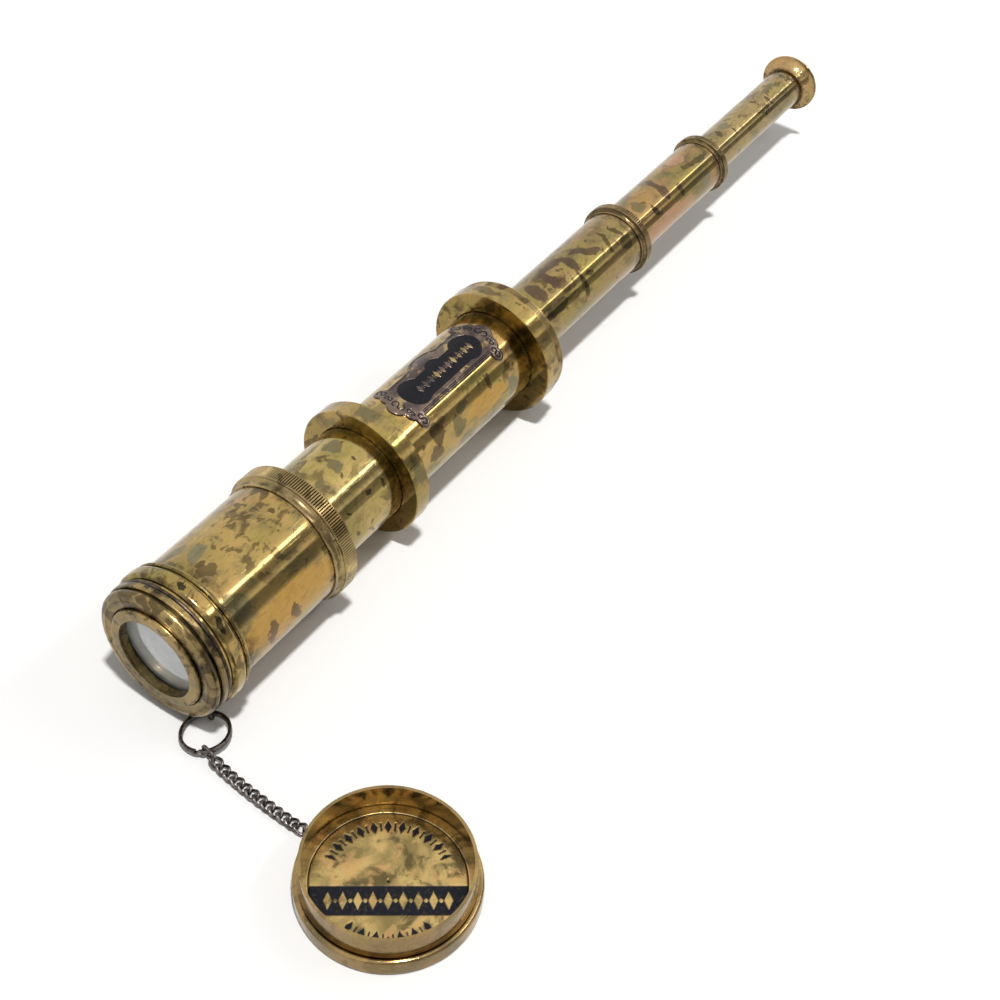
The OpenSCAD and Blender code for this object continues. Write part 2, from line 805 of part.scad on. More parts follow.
module split_ring() {
    turn_h = ring_h / 2;
    slit_turn = 205;
    slit_w = 0.5;
    slit_h = 1.4 * turn_h;
    color("dimgray")
        translate([ring_x, ring_y, ring_z - axis_h])
            rotate([atan(ring_slope_y), -atan(ring_slope_x), 0])
                difference() {
                    rotate_extrude($fn = turn_fn)
                        difference() {
                            translate([ring_r - ring_w / 2, -turn_h])
                                square([ring_w, ring_h]);
                            for (s = [-1, 1])
                                translate([ring_r + s * ring_w / 2, 0])
                                    circle(ring_groove, $fn = 16);
                        }
                    rotate([0, 0, slit_turn])
                        translate([ring_r, 0, turn_h])
                            cube([ring_w * 2, slit_w, slit_h], center = true);
                }
}

module jump_link() {
    path = [for (k = [0 : link_steps - 1]) jump_point(360 * k / link_steps)];
    color("dimgray")
        translate(jump_pos - [0, 0, axis_h])
            rotate([0, 0, 90 - jump_heading])
                wire_loop(path, jump_wire / 2);
}

module chain_link(i) {
    path = [for (k = [0 : link_steps - 1]) curb_point(360 * k / link_steps)];
    color("dimgray")
        translate(link_pos(i) + [0, 0, link_lie_z + link_lift(i) - axis_h])
            rotate([0, 0, 90 - heading(i)])
                rotate([0, -link_tilt(i), 0])
                    wire_loop(path, link_wire / 2);
}

module lens_cap_shell() {
    band_round = 1.2;
    ridge_gap = 0.6;       // between the band and the ridge over it
    ridge_h = 0.8;
    ridge_rise = 0.4;
    color("goldenrod")
        translate([cap_x, cap_y, -axis_h])
            rotate_extrude($fn = turn_fn)
                difference() {
                    union() {
                        square([cap_rim_r, cap_h]);
                        translate([0, cap_band_h + ridge_gap])
                            square([cap_rim_r + ridge_rise, ridge_h]);
                        square([cap_band_r - band_round, cap_band_h]);
                        translate([0, band_round])
                            square([cap_band_r, cap_band_h - 2 * band_round]);
                        for (z = [band_round, cap_band_h - band_round])
                            translate([cap_band_r - band_round, z])
                                circle(band_round, $fn = 48);
                    }
                    translate([0, cap_floor])
                        square([cap_in_r, cap_h]);
                }
}

module lens_cap_plate() {
    line_in = 1.8;         // from the disc's edge to the line round it
    line_w = 0.4;
    line_depth = 0.25;
    pin_r = 0.5;
    color("darkgoldenrod")
        translate([cap_x, cap_y, cap_floor - axis_h])
            difference() {
                cylinder(r = cap_plate_r, h = cap_plate_t, $fn = turn_fn);
                translate([0, 0, cap_plate_t - line_depth])
                    rotate_extrude($fn = turn_fn)
                        translate([cap_plate_r - line_in, 0])
                            square([line_w, lap]);
                translate([0, 0, -lap])
                    cylinder(r = pin_r, h = cap_plate_t + 2 * lap, $fn = 24);
            }
}

module lens_cap_lug() {
    color("dimgray")
        translate([cap_x, cap_y, cap_eye_z - axis_h])
            union() {
                translate([0, cap_band_r, 0])
                    rotate([-90, 0, 0])
                        cylinder(r = cap_post_r, h = cap_eye_reach - cap_eye_mid_r, $fn = 24);
                translate([0, cap_band_r + cap_eye_reach, 0])
                    rotate([0, 90, 0])
                        wire_eye(cap_eye_mid_r, cap_eye_wire_r);
            }
}

objective_bezel();
objective_crown_lens();
objective_flint_lens();
objective_retaining_ring();
bell_ferrule();
bell_tube();
bell_gland_ring();
chain_band();
neck_tube();
neck_guide_bush();
front_collar();
main_barrel();
nameplate();
rear_collar();
draw1_gland_ring();
draw1_tube();
draw1_guide_bush();
draw2_gland_ring();
draw2_tube();
draw2_guide_bush();
draw3_gland_ring();
draw3_tube();
draw3_guide_bush();
erector_tube();
erector_front_lens();
erector_rear_lens();
erector_retaining_rings();
erector_stop();
eyepiece_tube();
field_lens();
field_stop();
eye_lens();
eye_lens_retaining_ring();
eyecup();
split_ring();
jump_link();
for (i = [0 : link_count - 1])
    chain_link(i);
lens_cap_shell();
lens_cap_plate();
lens_cap_lug();
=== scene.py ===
import math

import bpy
import numpy as np
from mathutils import Matrix, Vector


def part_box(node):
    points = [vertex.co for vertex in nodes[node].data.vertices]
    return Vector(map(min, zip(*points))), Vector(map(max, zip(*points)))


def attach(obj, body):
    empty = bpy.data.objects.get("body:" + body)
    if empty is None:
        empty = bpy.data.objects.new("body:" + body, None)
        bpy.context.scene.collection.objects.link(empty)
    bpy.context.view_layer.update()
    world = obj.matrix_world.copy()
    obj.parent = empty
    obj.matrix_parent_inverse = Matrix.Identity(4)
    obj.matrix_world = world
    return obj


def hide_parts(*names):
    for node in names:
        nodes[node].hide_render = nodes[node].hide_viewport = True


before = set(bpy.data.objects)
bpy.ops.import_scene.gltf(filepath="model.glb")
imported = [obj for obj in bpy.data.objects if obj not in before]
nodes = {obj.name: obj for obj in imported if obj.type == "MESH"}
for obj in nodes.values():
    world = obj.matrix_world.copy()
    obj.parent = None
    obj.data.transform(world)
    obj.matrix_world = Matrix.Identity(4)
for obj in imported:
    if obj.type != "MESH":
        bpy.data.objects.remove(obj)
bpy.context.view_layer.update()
scene = bpy.context.scene
mm = 0.001
print("frame loaded,", len(nodes), "nodes")

# Camera: where the photograph was taken from, fitted to the turned rings
camera = {
    "place": (-0.26629, -0.30579, 0.47017),
    "yaw": 37.681,
    "pitch": -40.953,
    "roll": -0.649,
    "focalPixels": 1785.3,
    "centrePixel": (382.9, 380.1),
    "imageSide": 1000,
    "sensor": 36.0,
    "clip": (0.01, 50),
}


def addCamera(c):
    yaw, pitch, roll = (math.radians(c[k]) for k in ("yaw", "pitch", "roll"))
    forward = Vector((math.cos(pitch) * math.cos(yaw), math.cos(pitch) * math.sin(yaw), math.sin(pitch)))
    level = forward.cross(Vector((0, 0, 1))).normalized()
    upright = level.cross(forward)
    right = level * math.cos(roll) + upright * math.sin(roll)
    up = upright * math.cos(roll) - level * math.sin(roll)
    data = bpy.data.cameras.new("camera")
    data.sensor_width = c["sensor"]
    data.lens = c["focalPixels"] * c["sensor"] / c["imageSide"]
    data.shift_x = 0.5 - c["centrePixel"][0] / c["imageSide"]
    data.shift_y = c["centrePixel"][1] / c["imageSide"] - 0.5
    data.clip_start, data.clip_end = c["clip"]
    made = bpy.data.objects.new("camera", data)
    turn = Matrix((right, up, -forward)).transposed().to_4x4()
    made.matrix_world = Matrix.Translation(c["place"]) @ turn
    scene.collection.objects.link(made)
    scene.camera = made


addCamera(camera)


# A socket of a material's tree, so that shader maths reads as an expression
class Wire:
    def __init__(self, tree, socket=None):
        self.tree = tree
        self.socket = socket

    # Any node: its type, its settings first, then the values or links of its sockets
    def node(self, kind, settings=None, inputs=None, output=0):
        made = self.tree.nodes.new("ShaderNode" + kind)
        for name, value in (settings or {}).items():
            if name == "stops":
                self.setStops(made.color_ramp, value)
            else:
                setattr(made, name, value)
        for name, value in (inputs or {}).items():
            if isinstance(value, Wire):
                self.tree.links.new(value.socket, made.inputs[name])
            else:
                made.inputs[name].default_value = value
        return Wire(self.tree, made.outputs[output])

    @staticmethod
    def setStops(ramp, stops):
        first, last = ramp.elements[0], ramp.elements[1]
        first.position, last.position = stops[0][0], stops[-1][0]
        made = [first] + [ramp.elements.new(stop[0]) for stop in stops[1:-1]] + [last]
        for element, (_, colour) in zip(sorted(made, key=lambda e: e.position), stops):
            element.color = colour

    def maths(self, operation, *values):
        return self.node("Math", {"operation": operation}, dict(enumerate(values)))

    def vectors(self, operation, inputs, output=0):
        return self.node("VectorMath", {"operation": operation}, inputs, output)

    def __add__(self, other):
        return self.maths("ADD", self, other)

    def __radd__(self, other):
        return self.maths("ADD", other, self)

    def __sub__(self, other):
        return self.maths("SUBTRACT", self, other)

    def __rsub__(self, other):
        return self.maths("SUBTRACT", other, self)

    def __mul__(self, other):
        return self.maths("MULTIPLY", self, other)

    def __rmul__(self, other):
        return self.maths("MULTIPLY", other, self)

    def __abs__(self):
        return self.maths("ABSOLUTE", self)


def grey(value):
    return (value, value, value, 1)


# From 0 to 1 as a value goes from low to high; a narrow step makes a crisp edge
def step(value, low, high):
    return value.node("MapRange", {"interpolation_type": "SMOOTHSTEP"},
                      {"Value": value, "From Min": low, "From Max": high})


# On a colour Mix node, sockets 0, 6 and 7 are the factor and the two colours, and output 2 the result
def mixColour(factor, under, over, blend="MIX"):
    start = next(v for v in (factor, under, over) if isinstance(v, Wire))
    return start.node("Mix", {"data_type": "RGBA", "blend_type": blend}, {0: factor, 6: under, 7: over}, 2)


def noise(place, scale, detail=3.0, rough=0.5, bend=0.0, seed=0.0, output=0):
    return place.node("TexNoise", {"noise_dimensions": "4D"},
                      {"Vector": place, "W": seed, "Scale": scale, "Detail": detail,
                       "Roughness": rough, "Distortion": bend}, output)


def stretched(place, scale, turn=(0, 0, 0)):
    return place.node("Mapping", None, {"Vector": place, "Rotation": turn, "Scale": scale})


# A new material, with its shader and its object coordinates; the named sockets get fixed values
def startMaterial(name, **fixed):
    material = bpy.data.materials.new(name)
    material.use_nodes = True
    tree = material.node_tree
    shader = tree.nodes["Principled BSDF"]
    for socket, value in fixed.items():
        shader.inputs[socket.replace("_", " ")].default_value = value
    return material, shader, Wire(tree).node("TexCoord", output="Object")


def feed(shader, **inputs):
    for name, value in inputs.items():
        value.tree.links.new(value.socket, shader.inputs[name.replace("_", " ")])


def bumpOf(height, strength, distance):
    return height.node("Bump", None, {"Height": height, "Strength": strength, "Distance": distance})


# Smudges laid over a colour. Each is (x, turn from the top, half length, half turn, lean, colour,
# strength): an ellipse on the unrolled tube, in millimetres and degrees, its edge bent by a noise.
def laySmudges(colour, place, axes, look):
    radius = look["radius"]
    turn = axes[1].maths("ARCTAN2", axes[1] * -1.0, axes[2])
    unrolled = place.node("CombineXYZ", None, {"X": axes[0] * (1 / mm), "Y": turn * radius})
    warp = noise(place, look["bendScale"], 5, 0.62, 0.0, look["seed"] + 17, "Color")
    warp = warp.vectors("SUBTRACT", {0: warp, 1: (0.5, 0.5, 0.5)})
    warp = warp.vectors("SCALE", {0: warp, "Scale": look["bend"]})
    unrolled = warp.vectors("ADD", {0: unrolled, 1: warp})
    for x, at, halfLength, halfTurn, lean, tint, strength in look["smudges"]:
        local = unrolled.node("Mapping", {"vector_type": "TEXTURE"}, {
            "Vector": unrolled, "Location": (x, math.radians(at) * radius, 0),
            "Rotation": (0, 0, math.radians(lean)),
            "Scale": (halfLength, math.radians(halfTurn) * radius, 1000)})
        away = local.vectors("LENGTH", {0: local}, "Value")
        colour = mixColour((1 - step(away, 0.84, 1.06)) * strength, colour, look[tint])
    return colour


# Grime and painted shade round each (station, reach) along the tube, at joints, steps and grooves,
# ragged at its edges, or none at all
def grimeAndShadeOf(place, axes, look):
    grime = None
    for station, reach in look["grimeAt"]:
        near = 1 - step(abs(axes[0] - station * mm), reach * 0.2 * mm, reach * mm)
        grime = near if grime is None else grime.maths("MAXIMUM", grime, near)
    if grime is not None:
        ragged = noise(place, look["grimeScale"], 5, 0.65, 0.3, look["seed"] + 23)
        grime = grime * step(ragged, 0.36, 0.6) * look["grime"]
    return grime


# The soft layers of the patina, from the lowest up: the look's scale and a factor on it; the
# noise's detail, roughness, bend and seed step; where the layer comes in and where it is full;
# the look's share and colour
patinaLayers = (
    ("cloudScale", 1.3, 3, 0.55, 0.5, 7, 0.48, 0.7, "flush", "copper"),
    ("mottleScale", 0.6, 4, 0.6, 1.0, 5, 0.5, 0.6, "greens", "green"),
    ("mottleScale", 1.0, 5, 0.6, 0.9, 3, 0.46, 0.66, "mottles", "greyOlive"),
)


# Patinated brass. A warm metal clouds softly towards a duller one, with the soft layers over it,
# brown patches in crowds and small brown spots. Over them lie the listed smudges, grime and
# painted shade at the stations, fine wear and dark specks.
def patinaBrass(name, look):
    material, shader, place = startMaterial(name, Metallic=1.0, IOR=1.5)
    seed = look["seed"]
    axes = [place.node("SeparateXYZ", None, {"Vector": place}, k) for k in range(3)]
    along = stretched(place, look["stretch"])
    cloud = noise(along, look["cloudScale"], 4, 0.55, 0.4, seed)
    colour = mixColour(step(cloud, 0.32, 0.68), look["dull"], look["bright"])
    for scale, factor, detail, rough, bend, seedStep, low, high, share, tint in patinaLayers:
        layer = noise(along, look[scale] * factor, detail, rough, bend, seed + seedStep)
        colour = mixColour(step(layer, low, high) * look[share], colour, look[tint])
    patch = noise(along, look["mottleScale"] * 2.2, 5, 0.62, 0.8, seed + 13)
    crowd = noise(along, look["mottleScale"] * 0.5, 2, 0.5, 0.5, seed + 15)
    patches = step(patch, 0.51, 0.58) * step(crowd, 0.42, 0.56) * look["patches"]
    colour = mixColour(patches, colour, look["brown"])
    spot = noise(place, look["spotScale"], 2, 0.5, 0.3, seed + 11)
    spots = step(spot, look["spotFrom"], look["spotFrom"] + 0.05) * look["spots"]
    colour = mixColour(spots, colour, look["brown"])
    if look["smudges"]:
        colour = laySmudges(colour, place, axes, look)
    # Grime and painted shade: the stations darken towards soot at joints, steps and grooves
    grime = grimeAndShadeOf(place, axes, look)
    if grime is not None:
        colour = mixColour(grime, colour, look["soot"])
    fine = noise(stretched(place, (0.25, 1, 1)), look["fineScale"], 5, 0.7, 0.0, seed + 29)
    stops = [(0.3, grey(0.45)), (0.5, grey(0.9)), (0.72, grey(1.0))]
    worn = fine.node("ValToRGB", {"stops": stops}, {"Fac": fine})
    colour = mixColour(look["wear"], colour, worn, "MULTIPLY")
    speck = noise(place, look["speckScale"], 2, 0.5, 0.0, seed + 31)
    colour = mixColour(step(speck, 0.68, 0.72) * look["specks"], colour, look["soot"])
    haze = noise(along, look["hazeScale"], 5, 0.6, 0.4, seed + 37)
    roughness = look["rough"] + haze * look["roughRange"] + spots * 0.1
    if look["inked"]:
        ink = place.node("Attribute", {"attribute_name": "ink"}, None, "Fac")
        colour = mixColour(ink, colour, look["soot"])
        roughness = roughness + ink * 0.25
    if grime is not None:
        roughness = roughness + grime * 0.25
    turning = noise(stretched(place, (1, 0.02, 0.02)), look["turnScale"], 2, 0.6, 0.0, seed + 41)
    leaning = stretched(place, (0.03, 1, 1), (0.5, 0.2, 0.3))
    scratch = noise(leaning, look["scratchScale"], 3, 0.6, 0.4, seed + 43)
    relief = haze * 0.5 + turning * look["turning"] + step(scratch, 0.6, 0.64) * 0.25
    feed(shader, Base_Color=colour, Roughness=roughness, Normal=bumpOf(relief, look["bump"], 0.0002))
    return material


brassColours = {
    "bright": (0.44, 0.30, 0.105, 1),
    "dull": (0.29, 0.21, 0.07, 1),
    "green": (0.27, 0.225, 0.06, 1),
    "copper": (0.44, 0.24, 0.10, 1),
    "greyOlive": (0.155, 0.13, 0.065, 1),
    "greyGreen": (0.18, 0.165, 0.10, 1),
    "brown": (0.085, 0.058, 0.028, 1),
    "purple": (0.088, 0.056, 0.038, 1),
    "black": (0.026, 0.021, 0.014, 1),
    "orange": (0.50, 0.28, 0.065, 1),
    "salmon": (0.43, 0.245, 0.14, 1),
    # soot is the dark of specks and ink, and also the painted shade at the stations
    "soot": (0.03, 0.023, 0.014, 1),
}
tubeLook = dict(
    brassColours, radius=20.0, stretch=(0.7, 1, 1), cloudScale=32, mottleScale=75, spotScale=170,
    hazeScale=90, grimeScale=240, fineScale=900, scratchScale=1200, speckScale=1500, turnScale=2500,
    flush=0.45, greens=0.6, mottles=0.75, patches=0.75, spotFrom=0.65, spots=0.8, grimeAt=(), grime=0.7,
    smudges=(), bendScale=150, bend=9.0, wear=0.5, specks=0.6, inked=False, rough=0.07, roughRange=0.08,
    turning=0.2, bump=0.14,
)
# Each tube's stations are where grime and painted shade darken it at joints, steps and grooves
brassTubes = {
    "bell_tube": dict(
        tubeLook, seed=1.0, radius=25.3, flush=0.5, grimeAt=((19.7, 7), (69, 5)), smudges=(
            (45, 80, 27, 22, 0, "orange", 0.6), (27, -30, 5, 6, 20, "greyOlive", 0.8),
            (29, -10, 6, 6, -15, "greyGreen", 0.8), (53, -20, 1.3, 3, 0, "brown", 0.9),
            (24.5, 8.5, 6, 4.5, 10, "brown", 0.75), (61, 7, 1.6, 3.5, 0, "brown", 0.85),
            (24, 46, 5, 12, 0, "greyOlive", 0.85), (33.5, 87, 2.2, 13, 12, "purple", 0.8),
            (46.5, 89, 2.2, 11, -10, "purple", 0.8), (67, 90, 1.6, 4, 0, "black", 0.8))),
    "neck_tube": dict(
        tubeLook, seed=2.3, radius=20.3, bright=(0.48, 0.345, 0.125, 1), dull=(0.33, 0.25, 0.09, 1),
        flush=0.2, grimeAt=((78, 3), (114, 4)), smudges=(
            (85, 13, 2.2, 6, 0, "greyOlive", 0.85), (96, 9, 2.8, 10, 15, "greyOlive", 0.9),
            (103.5, -11, 4, 12, -20, "greyOlive", 0.85), (104, 18, 0.9, 2.6, 0, "brown", 0.9),
            (95, 22, 0.9, 2.6, 0, "brown", 0.85), (99, 53, 1.1, 3.2, 0, "brown", 0.9),
            (87, 58, 1.1, 3.2, 0, "brown", 0.9), (107, 57, 1.1, 3.2, 0, "brown", 0.9),
            (88, 87, 1.3, 4, 0, "brown", 0.8), (97, 100, 1.3, 4, 0, "brown", 0.8),
            (111, 60, 3.2, 60, 0, "brown", 0.45))),
    "main_barrel": dict(
        tubeLook, seed=3.1, radius=19.7, grimeAt=((123, 5), (202, 8)), smudges=(
            (172, 73, 14, 13, 0, "orange", 0.6), (141.5, 61, 4, 15, 14, "brown", 0.85),
            (138, 78, 4.5, 8, 10, "purple", 0.75), (154, 72, 4.5, 14, -18, "greyOlive", 0.8),
            (158.5, 55, 4, 6, 0, "greyOlive", 0.85), (176, 55, 1.7, 11, 10, "brown", 0.8),
            (189, 83, 3.6, 12, 0, "greyGreen", 0.85), (197, 45, 5, 16, 0, "black", 0.5),
            (130, -8, 4, 8, 0, "greyOlive", 0.6))),
    "draw1_tube": dict(
        tubeLook, seed=4.4, radius=14.6, bright=(0.335, 0.235, 0.095, 1), dull=(0.23, 0.165, 0.068, 1),
        grimeAt=((214, 7), (295, 5)), smudges=(
            (231.5, 9, 3.6, 22, 8, "purple", 0.85), (249, -12, 10, 10, 0, "purple", 0.85),
            (241.5, 8, 2.4, 24, 8, "purple", 0.9), (256.5, 8, 2.6, 24, -8, "purple", 0.9),
            (264.5, 1, 5, 8, 30, "purple", 0.85), (269.5, 19, 5, 8, 30, "purple", 0.85),
            (280, 25, 1.3, 26, 10, "brown", 0.9), (288, 20, 1.4, 21, -6, "brown", 0.9),
            (234, 52, 8.5, 10, 0, "black", 0.7), (254.5, 50, 1.4, 26, 6, "black", 0.75),
            (260, 46, 2, 7, 0, "black", 0.7), (288, 47, 4, 13, 0, "black", 0.6),
            (246, 92, 12, 10, 0, "greyGreen", 0.4))),
    "draw2_tube": dict(
        tubeLook, seed=5.2, radius=12.3, bright=(0.35, 0.225, 0.088, 1), dull=(0.25, 0.155, 0.066, 1),
        flush=0.6, grimeAt=((302, 5), (369, 4)), smudges=(
            (325, 82, 22, 22, 0, "salmon", 0.75), (352, -15, 5.5, 21, 0, "salmon", 0.7),
            (311, 12, 3.6, 18, 0, "greyOlive", 0.85), (317, 40, 2.1, 15, 0, "black", 0.8),
            (329.5, 12, 2.1, 38, 8, "purple", 0.85), (338.5, 45, 1.6, 15, 0, "purple", 0.85),
            (357.5, 21, 10, 6, 6, "black", 0.65), (358, 71, 3.2, 24, 0, "greyGreen", 0.85))),
    "draw3_tube": dict(
        tubeLook, seed=6.7, radius=9.4, bright=(0.37, 0.27, 0.12, 1), dull=(0.27, 0.195, 0.085, 1),
        flush=0.15, mottleScale=110, grimeAt=((376, 5), (453, 4)), smudges=(
            (387, 0, 1.4, 16, 0, "brown", 0.85), (394, -5, 4.5, 11, 0, "greyGreen", 0.85),
            (396, 25, 0.9, 20, 0, "brown", 0.85), (421, 0, 1.1, 6, 0, "brown", 0.85),
            (437, 1, 6, 9, 0, "greyOlive", 0.85), (430, 30, 1.1, 15, 0, "brown", 0.85),
            (421, 51, 1.1, 9, 0, "black", 0.75))),
    "bell_ferrule": dict(
        tubeLook, seed=7.5, radius=26.0, turning=0.5, grimeAt=((18.2, 1.6), (11.0, 1.2)),
        bright=(0.50, 0.335, 0.11, 1), smudges=(
            (13.3, 8.5, 1.7, 4.5, 0, "black", 0.9), (13.3, 46, 1.7, 9, 0, "black", 0.9),
            (16, -20, 2, 8, 0, "greyOlive", 0.6))),
    "front_collar": dict(
        tubeLook, seed=8.2, radius=27.5, turning=0.5,
        smudges=((118.5, 2, 3.2, 9, 0, "greyOlive", 0.85), (118.7, 65, 2.2, 11, 0, "greyOlive", 0.85))),
    "rear_collar": dict(
        tubeLook, seed=9.6, radius=28.0, turning=0.5,
        smudges=((206, -12, 2.6, 14, 0, "brown", 0.7),)),
    "lens_cap_shell": dict(
        tubeLook, seed=10.1, spots=0.5, rough=0.1, turning=0.5, bright=(0.40, 0.27, 0.11, 1),
        dull=(0.26, 0.175, 0.075, 1), greens=0.2, mottles=0.6, patches=0.4),
}
antiqueLook = dict(
    tubeLook, bright=(0.36, 0.255, 0.10, 1), dull=(0.17, 0.12, 0.052, 1), seed=12.0, flush=0.15,
    greens=0.2, mottles=0.7, mottleScale=110, patches=0.9, spotFrom=0.6, rough=0.18, roughRange=0.16,
    turning=1.0, bump=0.4, turnScale=1800,
)
brassTubes["objective_bezel"] = dict(
    antiqueLook, radius=22.0, grimeAt=((4.9, 0.7), (0.9, 0.5)), smudges=(
        (3.5, -28, 2.6, 12, 0, "brown", 0.8), (3, 4, 2.2, 9, 0, "brown", 0.85),
        (4, 33, 2.4, 11, 0, "brown", 0.8), (3, 66, 2.4, 14, 0, "black", 0.7),
        (7.5, -8, 1.6, 10, 0, "black", 0.8), (7.5, 48, 1.6, 12, 0, "black", 0.75),
        (4, 110, 2.6, 16, 0, "brown", 0.8), (3, -70, 2.6, 14, 0, "brown", 0.8),
        (4, 160, 2.4, 12, 0, "brown", 0.7)))
brassTubes["eyecup"] = dict(
    antiqueLook, seed=13.3, bright=(0.50, 0.34, 0.15, 1), dull=(0.36, 0.25, 0.11, 1), flush=0.6,
    mottles=0.3, patches=0.4, rough=0.12, roughRange=0.08, grimeAt=((455.4, 1.5),))
for guide in ("neck_guide_bush", "draw1_guide_bush", "draw2_guide_bush", "draw3_guide_bush"):
    brassTubes[guide] = dict(antiqueLook, seed=14.0)
knurlLook = dict(tubeLook, dull=(0.20, 0.145, 0.07, 1), greens=0.1, mottles=0.4, rough=0.16,
                 turning=0.3, inked=True)


# Dark metal: brown-black, rubbed brighter in random clouds
def gunmetalMaterial(name, look):
    material, shader, place = startMaterial(name, Metallic=1.0)
    cloud = noise(place, look["cloudScale"], 4, 0.6)
    colour = mixColour(step(cloud, 0.38, 0.62), look["dark"], look["light"])
    grain = noise(place, look["grainScale"], 3, 0.6)
    roughness = look["rough"] + cloud * 0.15 + grain * 0.1
    feed(shader, Base_Color=colour, Roughness=roughness, Normal=bumpOf(grain, 0.25, 0.0001))
    return material


chainMetal = gunmetalMaterial("chain_metal", {
    "dark": (0.065, 0.056, 0.052, 1), "light": (0.19, 0.17, 0.16, 1),
    "cloudScale": 500, "grainScale": 2600, "rough": 0.16})
bandMetal = gunmetalMaterial("band_metal", {
    "dark": (0.032, 0.025, 0.021, 1), "light": (0.095, 0.072, 0.056, 1),
    "cloudScale": 400, "grainScale": 2600, "rough": 0.24})


# Blackened brass inside the tubes, dull, with brass showing through where it is worn
def blackenedMaterial(look):
    material, shader, place = startMaterial("blackened", Metallic=0.6)
    wear = noise(place, look["wearScale"], 5, 0.7)
    colour = mixColour(step(wear, 0.6, 0.72), look["black"], look["worn"])
    feed(shader, Base_Color=colour, Roughness=0.45 + wear * 0.25, Normal=bumpOf(wear, 0.15, 0.0001))
    return material


blackened = blackenedMaterial({
    "black": (0.012, 0.011, 0.01, 1), "worn": (0.10, 0.07, 0.03, 1), "wearScale": 300})


# Polished glass with a faint film of dust. Where it is not clear, its pale grey colour is a
# painted reflection of a bright room, which makes it pale against the dark tube
def glassMaterial(name, look):
    material, shader, place = startMaterial(
        name, Transmission_Weight=look["clear"], IOR=1.52, Coat_Weight=look["coat"], Coat_Roughness=0.02)
    film = noise(place, 120, 5, 0.6, 0.5)
    dust = noise(place, 1800, 2, 0.5)
    colour = mixColour(step(film, 0.35, 0.7), look["tint"], look["film"])
    feed(shader, Base_Color=colour, Roughness=look["rough"] + film * 0.08 + step(dust, 0.7, 0.75) * 0.3)
    return material


# The front lens is less than half clear; its pale grey tint and film are a painted reflection of a bright
# room, with dust in the film
frontGlass = glassMaterial("front_glass", {
    "clear": 0.45, "coat": 1.0, "rough": 0.05,
    "tint": (0.62, 0.66, 0.66, 1), "film": (0.78, 0.80, 0.80, 1)})
innerGlass = glassMaterial("inner_glass", {
    "clear": 0.95, "coat": 0.0, "rough": 0.02,
    "tint": (0.92, 0.95, 0.95, 1), "film": (0.97, 0.98, 0.98, 1)})


# Etched work: brass or bronze in three tones with brown smudges, black where the piece's own
# attribute says that it is sunk
def etchedMaterial(name, look):
    material, shader, place = startMaterial(name, Metallic=1.0)
    scale, seed = look["cloudScale"], look["seed"]
    ink = place.node("Attribute", {"attribute_name": "ink"}, None, "Fac")
    cloud = noise(place, scale, 4, 0.6, 0.8, seed)
    colour = mixColour(step(cloud, 0.38, 0.6), look["first"], look["second"])
    patch = noise(place, scale * 1.3, 3, 0.6, 1.2, seed + 5)
    colour = mixColour(step(patch, 0.53, 0.6) * look["thirdShare"], colour, look["third"])
    smudge = noise(place, scale * 2, 6, 0.65, 0.5, seed + 9)
    colour = mixColour(step(smudge, 0.49, 0.62) * look["smudges"], colour, look["brown"])
    wear = noise(place, 900, 4, 0.7, 0.0, seed)
    colour = mixColour(ink * (0.82 + 0.36 * wear), colour, look["ink"])
    feed(shader, Base_Color=colour, Roughness=look["rough"] + cloud * 0.1 + ink * 0.3 + wear * 0.05,
         Normal=bumpOf(wear + smudge * 0.5, look["bump"], 0.0002))
    return material


# White floor that keeps the shadow
def floorMaterial(look):
    material, shader, place = startMaterial("floor", Roughness=0.7, Specular_IOR_Level=0.15)
    feed(shader, Base_Color=mixColour(noise(place, look["cloudScale"]), look["cool"], look["warm"]))
    return material


# An object from points in millimetres and faces, with the edges over the sharp angle kept crisp
def addPiece(name, points, faces, material, body, replaced, sharpAngle=35, ink=None):
    mesh = bpy.data.meshes.new(name)
    mesh.from_pydata((np.asarray(points) * mm).tolist(), [], faces)
    mesh.update()
    mesh.shade_smooth()
    mesh.set_sharp_from_angle(angle=math.radians(sharpAngle))
    if ink is not None:
        attribute = mesh.attributes.new("ink", "FLOAT", "POINT")
        attribute.data.foreach_set("value", np.asarray(ink, np.float32).ravel())
    mesh.materials.append(material)
    made = bpy.data.objects.new(name, mesh)
    scene.collection.objects.link(made)
    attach(made, body)
    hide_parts(*replaced)


# Quads between neighbours of a grid of rows and columns; either way may close on itself
def gridFaces(rows, columns, closeRows, closeColumns, flip=False):
    r = np.arange(rows if closeRows else rows - 1)
    c = np.arange(columns if closeColumns else columns - 1)
    r, c = np.meshgrid(r, c, indexing="ij")
    r2, c2 = (r + 1) % rows, (c + 1) % columns
    quads = np.stack([r * columns + c, r * columns + c2, r2 * columns + c2, r2 * columns + c], -1)
    quads = quads.reshape(-1, 4)
    return (quads[:, ::-1] if flip else quads).tolist()


# From 0 to 1 as a value goes from low to high, level at both ends
def smooth(value, low, high):
    t = np.clip((value - low) / (high - low), 0, 1)
    return t * t * (3 - 2 * t)


# A turned ring with a knurl: a closed profile of (distance along the axis, radius, share of the
# knurl's depth) carried round the axis, four steps to a tooth, one of them the bottom of a valley
def knurled(profile, ring, body, node):
    x, radius, share = (np.array(column)[:, None] for column in zip(*profile))
    steps = np.arange(ring["teeth"] * 4)[None, :]
    angle = steps * 2 * np.pi / steps.size
    valley = (steps % 4 < 1) * share
    r = radius - ring["depth"] * valley
    points = np.stack([x + 0 * r, r * np.sin(angle), r * np.cos(angle)], -1).reshape(-1, 3)
    faces = gridFaces(len(profile), steps.size, True, True, flip=True)
    look = dict(knurlLook, seed=ring["seed"], grimeAt=ring["grimeAt"], bright=ring["bright"])
    addPiece(ring["name"], points, faces, patinaBrass(ring["name"], look), body, [node],
             sharpAngle=28, ink=valley)


